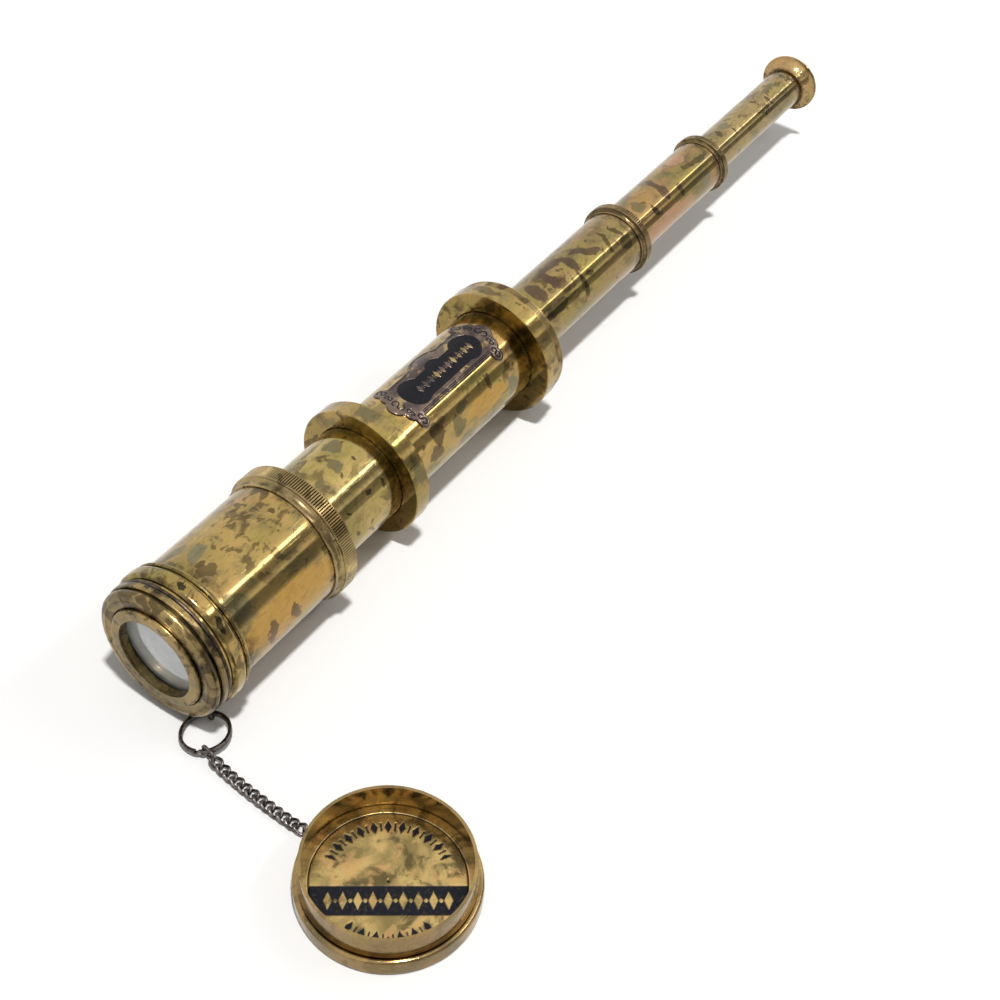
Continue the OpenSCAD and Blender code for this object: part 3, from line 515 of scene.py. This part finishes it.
# A knurled ring's outside from start to end: a plain lip, the knurl, and a plain lip again
def knurledLand(start, end, radius, ring):
    lip, full = ring["lip"], ring["lip"] + ring["fade"]
    return [(start, radius, 0), (start + lip, radius, 0), (start + full, radius, 1),
            (end - full, radius, 1), (end - lip, radius, 0), (end, radius, 0)]


# A gland ring: a bead, a hollow quarter arc up to the land, the knurled land, the rear face and
# the bore
def knurledRing(node, ring, body):
    low, high = (np.array(c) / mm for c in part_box(node))
    x0, x1, radius = low[0], high[0], high[2]
    tube, bore, edge, boreEdge = ring["tube"], ring["bore"], ring["chamfer"], ring["boreEdge"]
    bead, foot = (tube + (radius - tube) * ring[k] for k in ("bead", "foot"))
    inner, seat = tube - ring["overlap"], x1 - ring["seat"]
    start, coveFrom = x1 - ring["land"] - edge, x0 + 4 * edge
    t = np.radians(np.linspace(0, 90, ring["coveSteps"]))
    coveX = coveFrom + (start - edge - coveFrom) * np.sin(t)
    coveRadius = foot + (radius - edge - foot) * (1 - np.cos(t))
    profile = [(x0, inner, 0), (x0, foot, 0), (x0 + edge, bead, 0), (x0 + 3 * edge, bead, 0)]
    profile += list(zip(coveX, coveRadius, 0 * t))
    profile += knurledLand(start, x1 - edge, radius, ring)
    profile += [(x1, radius - edge, 0), (x1, (radius + bore) / 2, 0), (x1, bore + boreEdge, 0),
                (x1 - boreEdge, bore, 0), (seat, bore, 0), (seat, inner, 0)]
    knurled(profile, ring, body, node)


# bead and foot are shares of the ring's height over its tube
ringShape = {"chamfer": 0.3, "lip": 0.25, "fade": 0.1, "seat": 2.2, "overlap": 0.05, "bead": 0.35,
             "foot": 0.2, "coveSteps": 13, "boreEdge": 0.25}
# A ring's station darkens its hollow cove with grime and painted shade
knurledRings = {
    "bell_gland_ring": ("bell", dict(
        ringShape, name="bell_gland_ring_knurled", tube=25.3, bore=20.35, lip=0.3, land=6.3, teeth=168,
        depth=0.42, seed=20.0, bright=(0.44, 0.325, 0.14, 1), grimeAt=((69.5, 1.6),))),
    "draw2_gland_ring": ("draw1", dict(
        ringShape, name="draw2_gland_ring_knurled", tube=14.6, bore=12.35, land=3.0, teeth=100,
        depth=0.26, seed=21.0, bright=(0.26, 0.19, 0.10, 1), grimeAt=((297.4, 1.2),))),
    "draw3_gland_ring": ("draw2", dict(
        ringShape, name="draw3_gland_ring_knurled", tube=12.3, bore=9.45, land=2.6, teeth=86,
        depth=0.24, seed=22.0, bright=(0.26, 0.19, 0.10, 1), grimeAt=((371.2, 1.0),))),
}
for node, (body, ring) in knurledRings.items():
    knurledRing(node, ring, body)

# The first draw's gland ring: a plain part inside the collar and a thin knurled head behind it,
# its rear face dished inside the rim
drawHead = {
    "name": "draw1_gland_ring_knurled", "bore": 14.65, "inside": 21.7, "width": 4.2, "chamfer": 0.3,
    "lip": 0.25, "fade": 0.1, "rim": 4, "dish": 0.35, "dishSlope": 0.2, "boreEdge": 0.3, "teeth": 180,
    "depth": 0.42, "seed": 23.0, "bright": (0.44, 0.325, 0.14, 1), "grimeAt": (),
}


def knurledHead(ring, node):
    low, high = (np.array(c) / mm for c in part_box(node))
    x0, x2, radius = low[0], high[0], high[2]
    x1, edge, bore, boreEdge = x2 - ring["width"], ring["chamfer"], ring["bore"], ring["boreEdge"]
    rim, floor = radius - ring["rim"], x2 - ring["dish"]
    profile = [(x0, bore, 0), (x0, ring["inside"], 0), (x1, ring["inside"], 0), (x1, radius - edge, 0)]
    profile += knurledLand(x1 + edge, x2 - edge, radius, ring)
    profile += [(x2, radius - edge, 0), (x2, rim, 0), (floor, rim - ring["dishSlope"], 0),
                (floor, bore + boreEdge, 0), (floor - boreEdge, bore, 0)]
    knurled(profile, ring, "barrel", node)


knurledHead(drawHead, "draw1_gland_ring")
print("knurled rings made")

# Ring and chain: the same sizes as the solids, in millimetres and degrees
chain = {
    "axisHeight": 28.0, "tableGap": 0.1, "bandX": 8.75,
    "eyeReach": 30.0, "eyeRadius": 2.2, "eyeWire": 0.4, "eyeLow": 0.86,
    "ringRadius": 8.7, "ringWidth": 1.3, "ringHeight": 2.0, "ringEdge": 0.22, "ringPlay": 0.03,
    "atEye": 30, "atJump": 225, "slopeX": 0.0425, "slopeY": -0.12, "stepAt": 205, "stepTurn": 13.0,
    "ringSteps": 289,
    "jumpHeading": 12, "jumpOnRing": 1.0, "jumpToLink": 1.4, "jumpWire": 1.1, "jumpHalfLength": 3.2,
    "jumpPlay": 0.7, "jumpSteps": 64, "jumpRound": 14,
    "links": 12, "pitch": 3.6, "wire": 1.1, "linkPlay": 0.25, "linkHalfWidth": 1.8, "twist": 0.85,
    "linkGap": 0.02, "linkSteps": 56, "linkRound": 12,
    "headings": (9, 0), "lifts": {0: 0.9, 1: 0.18, 11: 0.45}, "tilts": {0: 12, 1: 4, 11: -6},
}


# A round or flat wire along a path: at each point a section is set square to the path.
# The section is a list of (outward, sideways) offsets, outward being away from the path's middle.
def wireAlong(path, section, outward, closed):
    path = np.asarray(path, float)
    if closed:
        ahead = np.roll(path, -1, 0) - np.roll(path, 1, 0)
    else:
        ahead = np.gradient(path, axis=0)
    ahead /= np.linalg.norm(ahead, axis=1, keepdims=True)
    out = outward - ahead * np.sum(outward * ahead, 1, keepdims=True)
    out /= np.linalg.norm(out, axis=1, keepdims=True)
    side = np.cross(ahead, out)
    section = np.asarray(section, float)
    outwards = section[None, :, 0, None] * out[:, None, :]
    return path[:, None, :] + outwards + section[None, :, 1, None] * side[:, None, :]


def roundSection(radius, count):
    t = np.arange(count) * 2 * np.pi / count
    return np.stack([radius * np.cos(t), radius * np.sin(t)], 1)


def turnAbout(axis, degrees):
    return np.array(Matrix.Rotation(math.radians(degrees), 3, axis))


def headingWay(degrees):
    a = math.radians(degrees)
    return np.array([-math.sin(a), -math.cos(a), 0.0])


eyeHeight = chain["eyeRadius"] * chain["eyeLow"] + chain["eyeWire"] + chain["tableGap"]
eyeY = -math.sqrt(chain["eyeReach"] ** 2 - (chain["axisHeight"] - eyeHeight) ** 2)
atEye, atJump = math.radians(chain["atEye"]), math.radians(chain["atJump"])
ringX = chain["bandX"] - chain["ringRadius"] * math.cos(atEye)
ringY = eyeY - chain["ringRadius"] * math.sin(atEye)
ringZ = (eyeHeight - chain["slopeX"] * (chain["bandX"] - ringX) - chain["slopeY"] * (eyeY - ringY)
         - chain["axisHeight"])


# Split ring: a flat wire wound two turns, (R cos t, R sin t, half a wire up or down). It stays low
# for the first turn, steps up by one wire's height where its own first end lies, and stays high
# for the second turn.
def splitRing(c):
    half, gap = c["ringHeight"] / 4, c["stepTurn"]
    turns = np.linspace(0, 720 - gap, c["ringSteps"])
    angle = np.radians(turns + c["stepAt"] + gap / 2)
    way = np.stack([np.cos(angle), np.sin(angle), 0 * angle], 1)
    path = way * c["ringRadius"]
    path[:, 2] = half * (2 * smooth(turns, 360 - gap, 360) - 1)
    w, h, edge = c["ringWidth"] / 2, half - c["ringPlay"], c["ringEdge"]
    corner = [(w - edge, h), (w - edge * 0.3, h - edge * 0.3), (w, h - edge)]
    section = corner + [(x, -y) for x, y in corner[::-1]]
    section += [(-x, -y) for x, y in corner] + [(-x, y) for x, y in corner[::-1]]
    points = wireAlong(path, section, way, False)
    turn = np.array(Matrix.Rotation(-math.atan(c["slopeX"]), 3, "Y")
                    @ Matrix.Rotation(math.atan(c["slopeY"]), 3, "X"))
    points = points.reshape(-1, 3) @ turn.T + (ringX, ringY, ringZ)
    count = len(section)
    faces = gridFaces(len(path), count, False, True)
    last = (len(path) - 1) * count
    faces += [list(range(count))[::-1], list(range(last, last + count))]
    addPiece("split_ring_wound", points, faces, chainMetal, "ring", ["split_ring"], 40)


splitRing(chain)

holdX = ringX + chain["ringRadius"] * math.cos(atJump)
holdY = ringY + chain["ringRadius"] * math.sin(atJump)
holdZ = ringZ + chain["slopeX"] * (holdX - ringX) + chain["slopeY"] * (holdY - ringY)
jumpPlace = np.array([holdX, holdY, holdZ]) + chain["jumpOnRing"] * headingWay(chain["jumpHeading"])


# Jump link: an upright oval of round wire with round ends, t once round: (A cos t + B tanh(6 cos t),
# 0, A sin t), where the tanh draws the two halves apart
def jumpLink(c):
    half = (c["ringHeight"] + c["jumpWire"]) / 2 + c["jumpPlay"]
    steps, around = c["jumpSteps"], c["jumpRound"]
    t = np.arange(steps) * 2 * np.pi / steps
    x = half * np.cos(t) + (c["jumpHalfLength"] - half) * np.tanh(6 * np.cos(t))
    path = np.stack([x, 0 * t, half * np.sin(t)], 1)
    points = wireAlong(path, roundSection(c["jumpWire"] / 2, around), path, True)
    points = points.reshape(-1, 3) @ turnAbout("Z", 90 - c["jumpHeading"]).T + jumpPlace
    addPiece("jump_link_round", points, gridFaces(steps, around, True, True), chainMetal, "jump",
             ["jump_link"], 60)


jumpLink(chain)


# Curb link: an oval twisted as it goes round, t once round: (A cos t, B sin t, C sin 2t)
def curbLinks(c):
    halfLength = (c["pitch"] + c["wire"]) / 2 + c["linkPlay"]
    lie = c["twist"] + c["wire"] / 2 + c["linkGap"] - c["axisHeight"]
    steps, around = c["linkSteps"], c["linkRound"]
    t = np.arange(steps) * 2 * np.pi / steps
    path = np.stack([halfLength * np.cos(t), c["linkHalfWidth"] * np.sin(t), c["twist"] * np.sin(2 * t)], 1)
    link = wireAlong(path, roundSection(c["wire"] / 2, around), path, True).reshape(-1, 3)
    first, last = c["headings"]
    heading = [first + (last - first) * i / (c["links"] - 1) for i in range(c["links"])]
    place = jumpPlace * (1, 1, 0) + c["jumpToLink"] * headingWay(c["jumpHeading"])
    place = place + halfLength * headingWay(first)
    for i in range(c["links"]):
        if i:
            place = place + c["pitch"] * headingWay((heading[i] + heading[i - 1]) / 2)
        turn = turnAbout("Z", 90 - heading[i]) @ turnAbout("Y", -c["tilts"].get(i, 0))
        points = link @ turn.T + place + (0, 0, lie + c["lifts"].get(i, 0))
        name = "chain_link_%02d" % (i + 1)
        addPiece(name + "_round", points, gridFaces(steps, around, True, True), chainMetal,
                 "link_%02d" % (i + 1), [name], 60)


curbLinks(chain)
print("ring and chain made")


# Distances in the plane from a circle and from a box, below 0 inside
def circleAway(x, y, cx, cy, r):
    return np.hypot(x - cx, y - cy) - r


def boxAway(x, y, halfX, halfY):
    dx, dy = np.abs(x) - halfX, np.abs(y) - halfY
    return np.hypot(np.maximum(dx, 0), np.maximum(dy, 0)) + np.minimum(np.maximum(dx, dy), 0)


# Places from -1 to 1 that crowd towards both ends, the more the nearer share is to 1
def crowded(count, share):
    return np.sin(np.linspace(-1, 1, count) * np.pi / 2 * share) / math.sin(np.pi / 2 * share)


# How far a value is from the nearest whole number of pitches
def fromBeat(value, pitch):
    return (value + pitch / 2) % pitch - pitch / 2


# A lozenge, 1 inside and 0 outside, where |a| and |b| as shares of its halves add up to about 1
def lozengeAt(a, b, halves, low=0.85, high=1.1):
    return 1 - smooth(np.abs(a) / halves[0] + np.abs(b) / halves[1], low, high)


# A thin shell from its top and its underside, two grids of the same size. Each row goes over the
# top and back under, and the first and last rows are closed between the two.
def addShell(name, top, under, ink, flip, material, body, replaced):
    points = np.concatenate([top, under[:, ::-1]], 1)
    rows, count = points.shape[:2]
    k = np.arange(count // 2 - 1)
    end = np.stack([k, k + 1, count - 2 - k, count - 1 - k], -1)
    faces = np.concatenate([gridFaces(rows, count, False, True), end[:, ::-1], end + (rows - 1) * count])
    faces = (faces[:, ::-1] if flip else faces).tolist()
    inks = np.concatenate([ink, 0 * ink], 1)
    addPiece(name, points.reshape(-1, 3), faces, material, body, replaced, 50, inks)


# Nameplate: a thin cast plate bent round the barrel. A round is (middle x, middle y, radius), the
# same at all four corners; the crest rises on the far side alone. Pairs of soft edges are where a
# form is full and where it ends.
plate = {
    "midX": 163.2, "turn": 6.5, "barrel": 19.7, "overlap": 0.02, "halfLength": 31.7, "tip": 0.004,
    "thickness": 0.7, "bar": (24.5, 9.4),
    "rounds": ((26.7, 0, 5.0), (25.0, 5.6, 3.9), (24.5, 10.6, 2.4)),
    "crest": (0, 1.0, 12.0), "edgeWidth": 0.35, "edgeDrop": 0.2,
    "panelBar": (16.5, 5.1, -0.9), "panelHead": (16.5, 0, 6.9), "panelRise": (0, 1.2, 5.3),
    "panelEdge": 0.15, "panelSunk": 0.3, "railAt": 0.7, "railWidth": 0.35, "railHeight": 0.1,
    "linesIn": (0.85, 1.5), "linesTo": 22, "lineWidth": 0.26, "lineDepth": 0.14,
    "scrolls": ((27.3, 0, 1.3), (24.4, 9.9, 1.0), (26.2, 5.4, 0.8)), "scrollEdge": (0.16, 0.42),
    "rowY": -0.85, "rowFrom": -16.2, "rowTo": 19.8, "pitch": 3.6, "lozenge": (1.1, 2.1),
    "tickInset": 1, "tickHalf": 1.0, "tickEdge": (0.16, 0.34), "raised": 0.2,
    "rows": 300, "columns": 120, "crowding": 0.93,
}
plateLook = {
    "first": (0.075, 0.056, 0.05, 1), "second": (0.17, 0.125, 0.10, 1), "third": (0.46, 0.33, 0.14, 1),
    "thirdShare": 0.6, "brown": (0.05, 0.033, 0.03, 1), "ink": (0.013, 0.013, 0.016, 1),
    "cloudScale": 75, "seed": 31.0, "smudges": 0.6, "rough": 0.1, "bump": 0.2,
}


# Distance from the outline: the nearest of the bar, the rounds and the crest's far half
def plateAway(p, x, y):
    away = boxAway(x, y, *p["bar"])
    for cx, cy, r in p["rounds"]:
        away = np.minimum(away, circleAway(np.abs(x), np.abs(y), cx, cy, r))
    return np.minimum(away, np.maximum(circleAway(x, y, *p["crest"]), -y))


# The outline's half width on one side at each distance along the plate
def plateEdge(p, x, farSide):
    edge = np.where(np.abs(x) < p["bar"][0], p["bar"][1], 0.0)
    for cx, cy, r in p["rounds"] + ((p["crest"],) if farSide else ()):
        inside = r * r - (np.abs(x) - cx) ** 2
        edge = np.maximum(edge, np.where(inside > 0, cy + np.sqrt(np.maximum(inside, 0)), 0))
    return edge


# Sunk panel: a bar with round heads and a round rise on its far side
def panelAway(p, x, y):
    halfX, halfY, midY = p["panelBar"]
    away = np.minimum(boxAway(x, y - midY, halfX, halfY), circleAway(np.abs(x), y, *p["panelHead"]))
    return np.minimum(away, circleAway(x, y, *p["panelRise"]))


# An S of two open hooks, one each side of its middle, as a distance from its line
def scrollAway(x, y, cx, cy, r):
    u, v = x - cx, y - cy
    upper = np.where((u < 0) | (v > r), np.abs(np.hypot(u, v - r) - r), np.hypot(u - r, v - r))
    lower = np.where((u > 0) | (v < -r), np.abs(np.hypot(u, v + r) - r), np.hypot(u + r, v + r))
    return np.minimum(upper, lower)


# Lozenges with ticks between them, in a row along the panel
def plateRow(p, x, y):
    fromStart, fromRow = x - p["rowFrom"], np.abs(y - p["rowY"])
    inRow = (x > p["rowFrom"]) & (x < p["rowTo"])
    lozenges = lozengeAt(fromBeat(fromStart - p["pitch"] / 2, p["pitch"]), fromRow, p["lozenge"])
    ticked = inRow & (fromStart > p["tickInset"]) & (x < p["rowTo"] - p["tickInset"])
    ticked = ticked & (fromRow < p["tickHalf"])
    ticks = 1 - smooth(np.abs(fromBeat(fromStart, p["pitch"])), *p["tickEdge"])
    return np.maximum(np.where(inRow, lozenges, 0), np.where(ticked, ticks, 0))


# x runs along the plate and y across it, out to the outline at each x. The height over the barrel
# is the thickness less the edge's fall, the lines, the scrolls and the panel, plus its rail and row.
def nameplate(p):
    x = (crowded(p["rows"], p["crowding"]) * (p["halfLength"] - p["tip"]))[:, None]
    q = np.linspace(-1, 1, p["columns"])[None, :]
    y = q * np.where(q < 0, plateEdge(p, x, False), plateEdge(p, x, True))
    x = x + 0 * y
    away, panel, width = plateAway(p, x, y), panelAway(p, x, y), p["lineWidth"]
    line = np.maximum.reduce([1 - smooth(np.abs(away + d), width * 0.4, width) for d in p["linesIn"]])
    line = line * (np.abs(x) < p["linesTo"])
    scroll = [scrollAway(np.abs(x), np.abs(y) if cy else y, cx, cy, r) for cx, cy, r in p["scrolls"]]
    scroll = 1 - smooth(np.minimum.reduce(scroll), *p["scrollEdge"])
    sunk = 1 - smooth(panel, -p["panelEdge"], p["panelEdge"])
    rail = np.exp(-((panel - p["railAt"]) / p["railWidth"]) ** 2)
    raised = plateRow(p, x, y)
    height = p["thickness"] - p["edgeDrop"] * smooth(away, -p["edgeWidth"], 0.0)
    height = height - p["lineDepth"] * (line + scroll) + p["railHeight"] * rail
    height = np.minimum(height + (p["raised"] * raised - p["panelSunk"]) * sunk, p["thickness"])
    ink = np.clip(np.maximum.reduce([sunk * (1 - raised), line * 0.9, scroll]), 0, 1)
    turn, middle = turnAbout("X", p["turn"]).T, (p["midX"], 0, 0)
    top = np.stack([x, y, np.sqrt((p["barrel"] + height) ** 2 - y ** 2)], -1) @ turn + middle
    under = np.stack([x, y, np.sqrt((p["barrel"] - p["overlap"]) ** 2 - y ** 2)], -1) @ turn + middle
    addShell("nameplate_engraved", top, under, ink, False, etchedMaterial("plate_bronze", plateLook),
             "barrel", ["nameplate"])


nameplate(plate)
print("nameplate made")

# Disc in the lens cap: an engraved circle, a blackened band across it with a row of lozenges and
# dots left bright, and marks on two arcs. "across" is the way the band runs.
disc = {
    "radius": 27.48, "tip": 0.01, "top": -23.5, "thickness": 0.8, "across": (0.602, -0.798),
    "hole": 0.55, "holeDepth": 0.5, "circle": 25.7, "circleWidth": 0.42, "circleDepth": 0.2,
    "band": (1.7, 12.6), "bandEdge": 0.12, "bandSunk": 0.16, "bandEnds": (-0.1, 0.15),
    "pitch": 4.8, "lozenge": (1.5, 3.4), "lozengesTo": 21.7, "dotEdge": (0.5, 0.75), "dotsTo": 20,
    "markRadius": 20.6, "markTurn": 13.0, "mark": (1.25, 2.5), "marksTo": (66, 40), "markDepth": 0.12,
    "tickHalf": 1.5, "tickEdge": (0.18, 0.4), "ticksTo": (60, 34),
    "rows": 222, "columns": 222, "crowding": 0.97,
}
discLook = {
    "first": (0.21, 0.155, 0.06, 1), "second": (0.48, 0.34, 0.13, 1), "third": (0.50, 0.30, 0.12, 1),
    "thirdShare": 0.6, "brown": (0.095, 0.072, 0.032, 1), "ink": (0.013, 0.014, 0.018, 1),
    "cloudScale": 58, "seed": 41.0, "smudges": 0.9, "rough": 0.17, "bump": 0.25,
}


# Lozenges on two arcs with ticks between them, within (near, far) degrees of each arc's middle
def discMarks(d, u, v, r):
    angle = np.degrees(np.arctan2(u, -v))
    onMark, onTick = ((np.abs(angle) < near) | (180 - np.abs(angle) < far)
                      for near, far in (d["marksTo"], d["ticksTo"]))
    fromMark = np.radians(fromBeat(angle, d["markTurn"])) * d["markRadius"]
    fromTick = np.radians(fromBeat(angle - d["markTurn"] / 2, d["markTurn"])) * d["markRadius"]
    outward = r - d["markRadius"]
    marks = np.where(onMark, lozengeAt(fromMark, outward, d["mark"]), 0)
    ticked = onTick & (np.abs(outward) < d["tickHalf"])
    return np.maximum(marks, np.where(ticked, 1 - smooth(np.abs(fromTick), *d["tickEdge"]), 0))


# u runs along the band and v square to it, out to the disc's edge at each v. The top's height is
# level, less what each form is sunk.
def capDisc(d):
    low, high = (np.array(c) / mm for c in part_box("lens_cap_plate"))
    v = (crowded(d["rows"], d["crowding"]) * (d["radius"] - d["tip"]))[:, None]
    u = np.linspace(-1, 1, d["columns"])[None, :] * np.sqrt(d["radius"] ** 2 - v ** 2)
    v = v + 0 * u
    r = np.hypot(u, v)
    circle = 1 - smooth(np.abs(r - d["circle"]), d["circleWidth"] * 0.4, d["circleWidth"] * 0.75)
    (near, far), edge, ends = d["band"], d["bandEdge"], [d["circle"] + e for e in d["bandEnds"]]
    band = smooth(v, near - edge, near + edge) * (1 - smooth(v, far - edge, far + edge))
    band = band * (1 - smooth(r, *ends))
    fromMiddle = v - (near + far) / 2
    lozenges = lozengeAt(fromBeat(u, d["pitch"]), fromMiddle, d["lozenge"], 0.86, 1.02)
    dots = 1 - smooth(np.hypot(fromBeat(u - d["pitch"] / 2, d["pitch"]), fromMiddle), *d["dotEdge"])
    raised = np.maximum(lozenges * (np.abs(u) < d["lozengesTo"]), dots * (np.abs(u) < d["dotsTo"]))
    dark = band * (1 - raised)
    marks = discMarks(d, u, v, r) * (1 - band)
    hole = 1 - smooth(r, d["hole"] * 0.8, d["hole"] * 1.25)
    ink = np.clip(np.maximum.reduce([circle, dark, marks, hole]), 0, 1)
    sunk = d["circleDepth"] * circle + d["bandSunk"] * dark + d["markDepth"] * marks + d["holeDepth"] * hole
    ax, ay = d["across"]
    px = (low[0] + high[0]) / 2 + ax * u + ay * v
    py = (low[1] + high[1]) / 2 + ay * u - ax * v
    top = np.stack([px, py, d["top"] - sunk], -1)
    under = np.stack([px, py, 0 * px + d["top"] - d["thickness"]], -1)
    addShell("lens_cap_disc", top, under, ink, True, etchedMaterial("etched_brass", discLook),
             "lens_cap", ["lens_cap_plate"])


capDisc(disc)
print("cap disc made")

# The solids that stay, each in its own finish
finished = {node: patinaBrass("brass_" + node, look) for node, look in brassTubes.items()}
finished.update(chain_band=bandMetal, lens_cap_lug=chainMetal, objective_crown_lens=frontGlass)
for node in ("objective_flint_lens", "erector_front_lens", "erector_rear_lens", "field_lens", "eye_lens"):
    finished[node] = innerGlass
for node in ("objective_retaining_ring", "erector_tube", "erector_retaining_rings", "erector_stop",
             "eyepiece_tube", "field_stop", "eye_lens_retaining_ring"):
    finished[node] = blackened
for node, material in finished.items():
    for slot in nodes[node].material_slots:
        slot.material = material
print("finishes set on", len(finished), "solids")

# Floor, lamps and world. A strip is (place, size, power), turned to the aim. What polished metal
# mirrors is given by the turn from overhead towards the camera's side, in degrees, as a share of
# the brightest place.
studio = {
    "floorHeight": -0.028, "floorSide": 8.0, "cloudScale": 3.0,
    "cool": (0.90, 0.90, 0.90, 1), "warm": (0.92, 0.91, 0.895, 1),
    "keyWay": (-0.10, -0.21, 1.0), "keyStrength": 2.5, "keyAngle": 5,
    "strips": (((0.917, -0.859, 1.174), (0.75, 0.12), 2.6), ((1.435, -0.581, 0.794), (0.65, 0.05), 0.75)),
    "aim": (0.2, 0, 0), "worldColour": (1, 0.995, 0.985, 1), "worldFill": 0.31, "brightest": 2.1,
    "mirrored": ((-100, 0.62), (-60, 0.62), (-35, 0.57), (-15, 0.6), (5, 0.62), (20, 0.66), (30, 0.72),
                 (34, 0.85), (38, 0.85), (41, 0.4), (52, 0.24), (63, 0.21), (64.2, 0.7), (65.8, 0.7),
                 (67, 0.14), (86, 0.14), (100, 0.2)),
}


def studioSet(s):
    side = s["floorSide"] / 2
    mesh = bpy.data.meshes.new("floor")
    corners = [(-side, -side), (side, -side), (side, side), (-side, side)]
    mesh.from_pydata([(x, y, s["floorHeight"]) for x, y in corners], [], [(0, 1, 2, 3)])
    mesh.materials.append(floorMaterial(s))
    floor = bpy.data.objects.new("floor", mesh)
    scene.collection.objects.link(floor)
    sun = bpy.data.lights.new("key", "SUN")
    sun.energy, sun.angle = s["keyStrength"], math.radians(s["keyAngle"])
    key = bpy.data.objects.new("key", sun)
    key.rotation_euler = Vector(s["keyWay"]).to_track_quat("Z", "Y").to_euler()
    scene.collection.objects.link(key)
    for place, size, power in s["strips"]:
        area = bpy.data.lights.new("strip", "AREA")
        area.shape, area.size, area.size_y = "RECTANGLE", size[0], size[1]
        area.energy = power
        strip = bpy.data.objects.new("strip", area)
        away = (Vector(place) - Vector(s["aim"])).normalized()
        across = (Vector((1, 0, 0)) - away * away.x).normalized()
        turn = Matrix((across, away.cross(across), away)).transposed().to_4x4()
        strip.matrix_world = Matrix.Translation(place) @ turn
        scene.collection.objects.link(strip)


studioSet(studio)


# World: white where it is seen in the open or through glass, the studio's bright ceiling and dark
# walls where metal mirrors it, and a plain fill for the rest
def studioWorld(s):
    world = bpy.data.worlds.new("studio")
    scene.world = world
    world.use_nodes = True
    tree = world.node_tree
    start = Wire(tree)
    way = start.node("TexCoord", output="Generated")
    axes = [way.node("SeparateXYZ", None, {"Vector": way}, k) for k in range(3)]
    turn = axes[1].maths("ARCTAN2", axes[1] * -1.0, axes[2])
    low, high = math.radians(s["mirrored"][0][0]), math.radians(s["mirrored"][-1][0])
    share = (turn - low) * (1 / (high - low))
    stops = [((math.radians(t) - low) / (high - low), grey(v)) for t, v in s["mirrored"]]
    mirrored = share.node("ValToRGB", {"stops": stops}, {"Fac": share}) * s["brightest"]
    glossy = start.node("LightPath", output="Is Glossy Ray")
    seen = start.node("LightPath", output="Is Camera Ray")
    seen = seen + start.node("LightPath", output="Is Transmission Ray")
    seen = seen.maths("MINIMUM", seen, 1.0)
    strength = s["worldFill"] + seen * (1 - s["worldFill"])
    strength = strength + glossy * (mirrored - strength)
    background = tree.nodes["Background"]
    background.inputs["Color"].default_value = s["worldColour"]
    tree.links.new(strength.socket, background.inputs["Strength"])


studioWorld(studio)
scene.view_settings.view_transform = "Standard"
print("studio set")
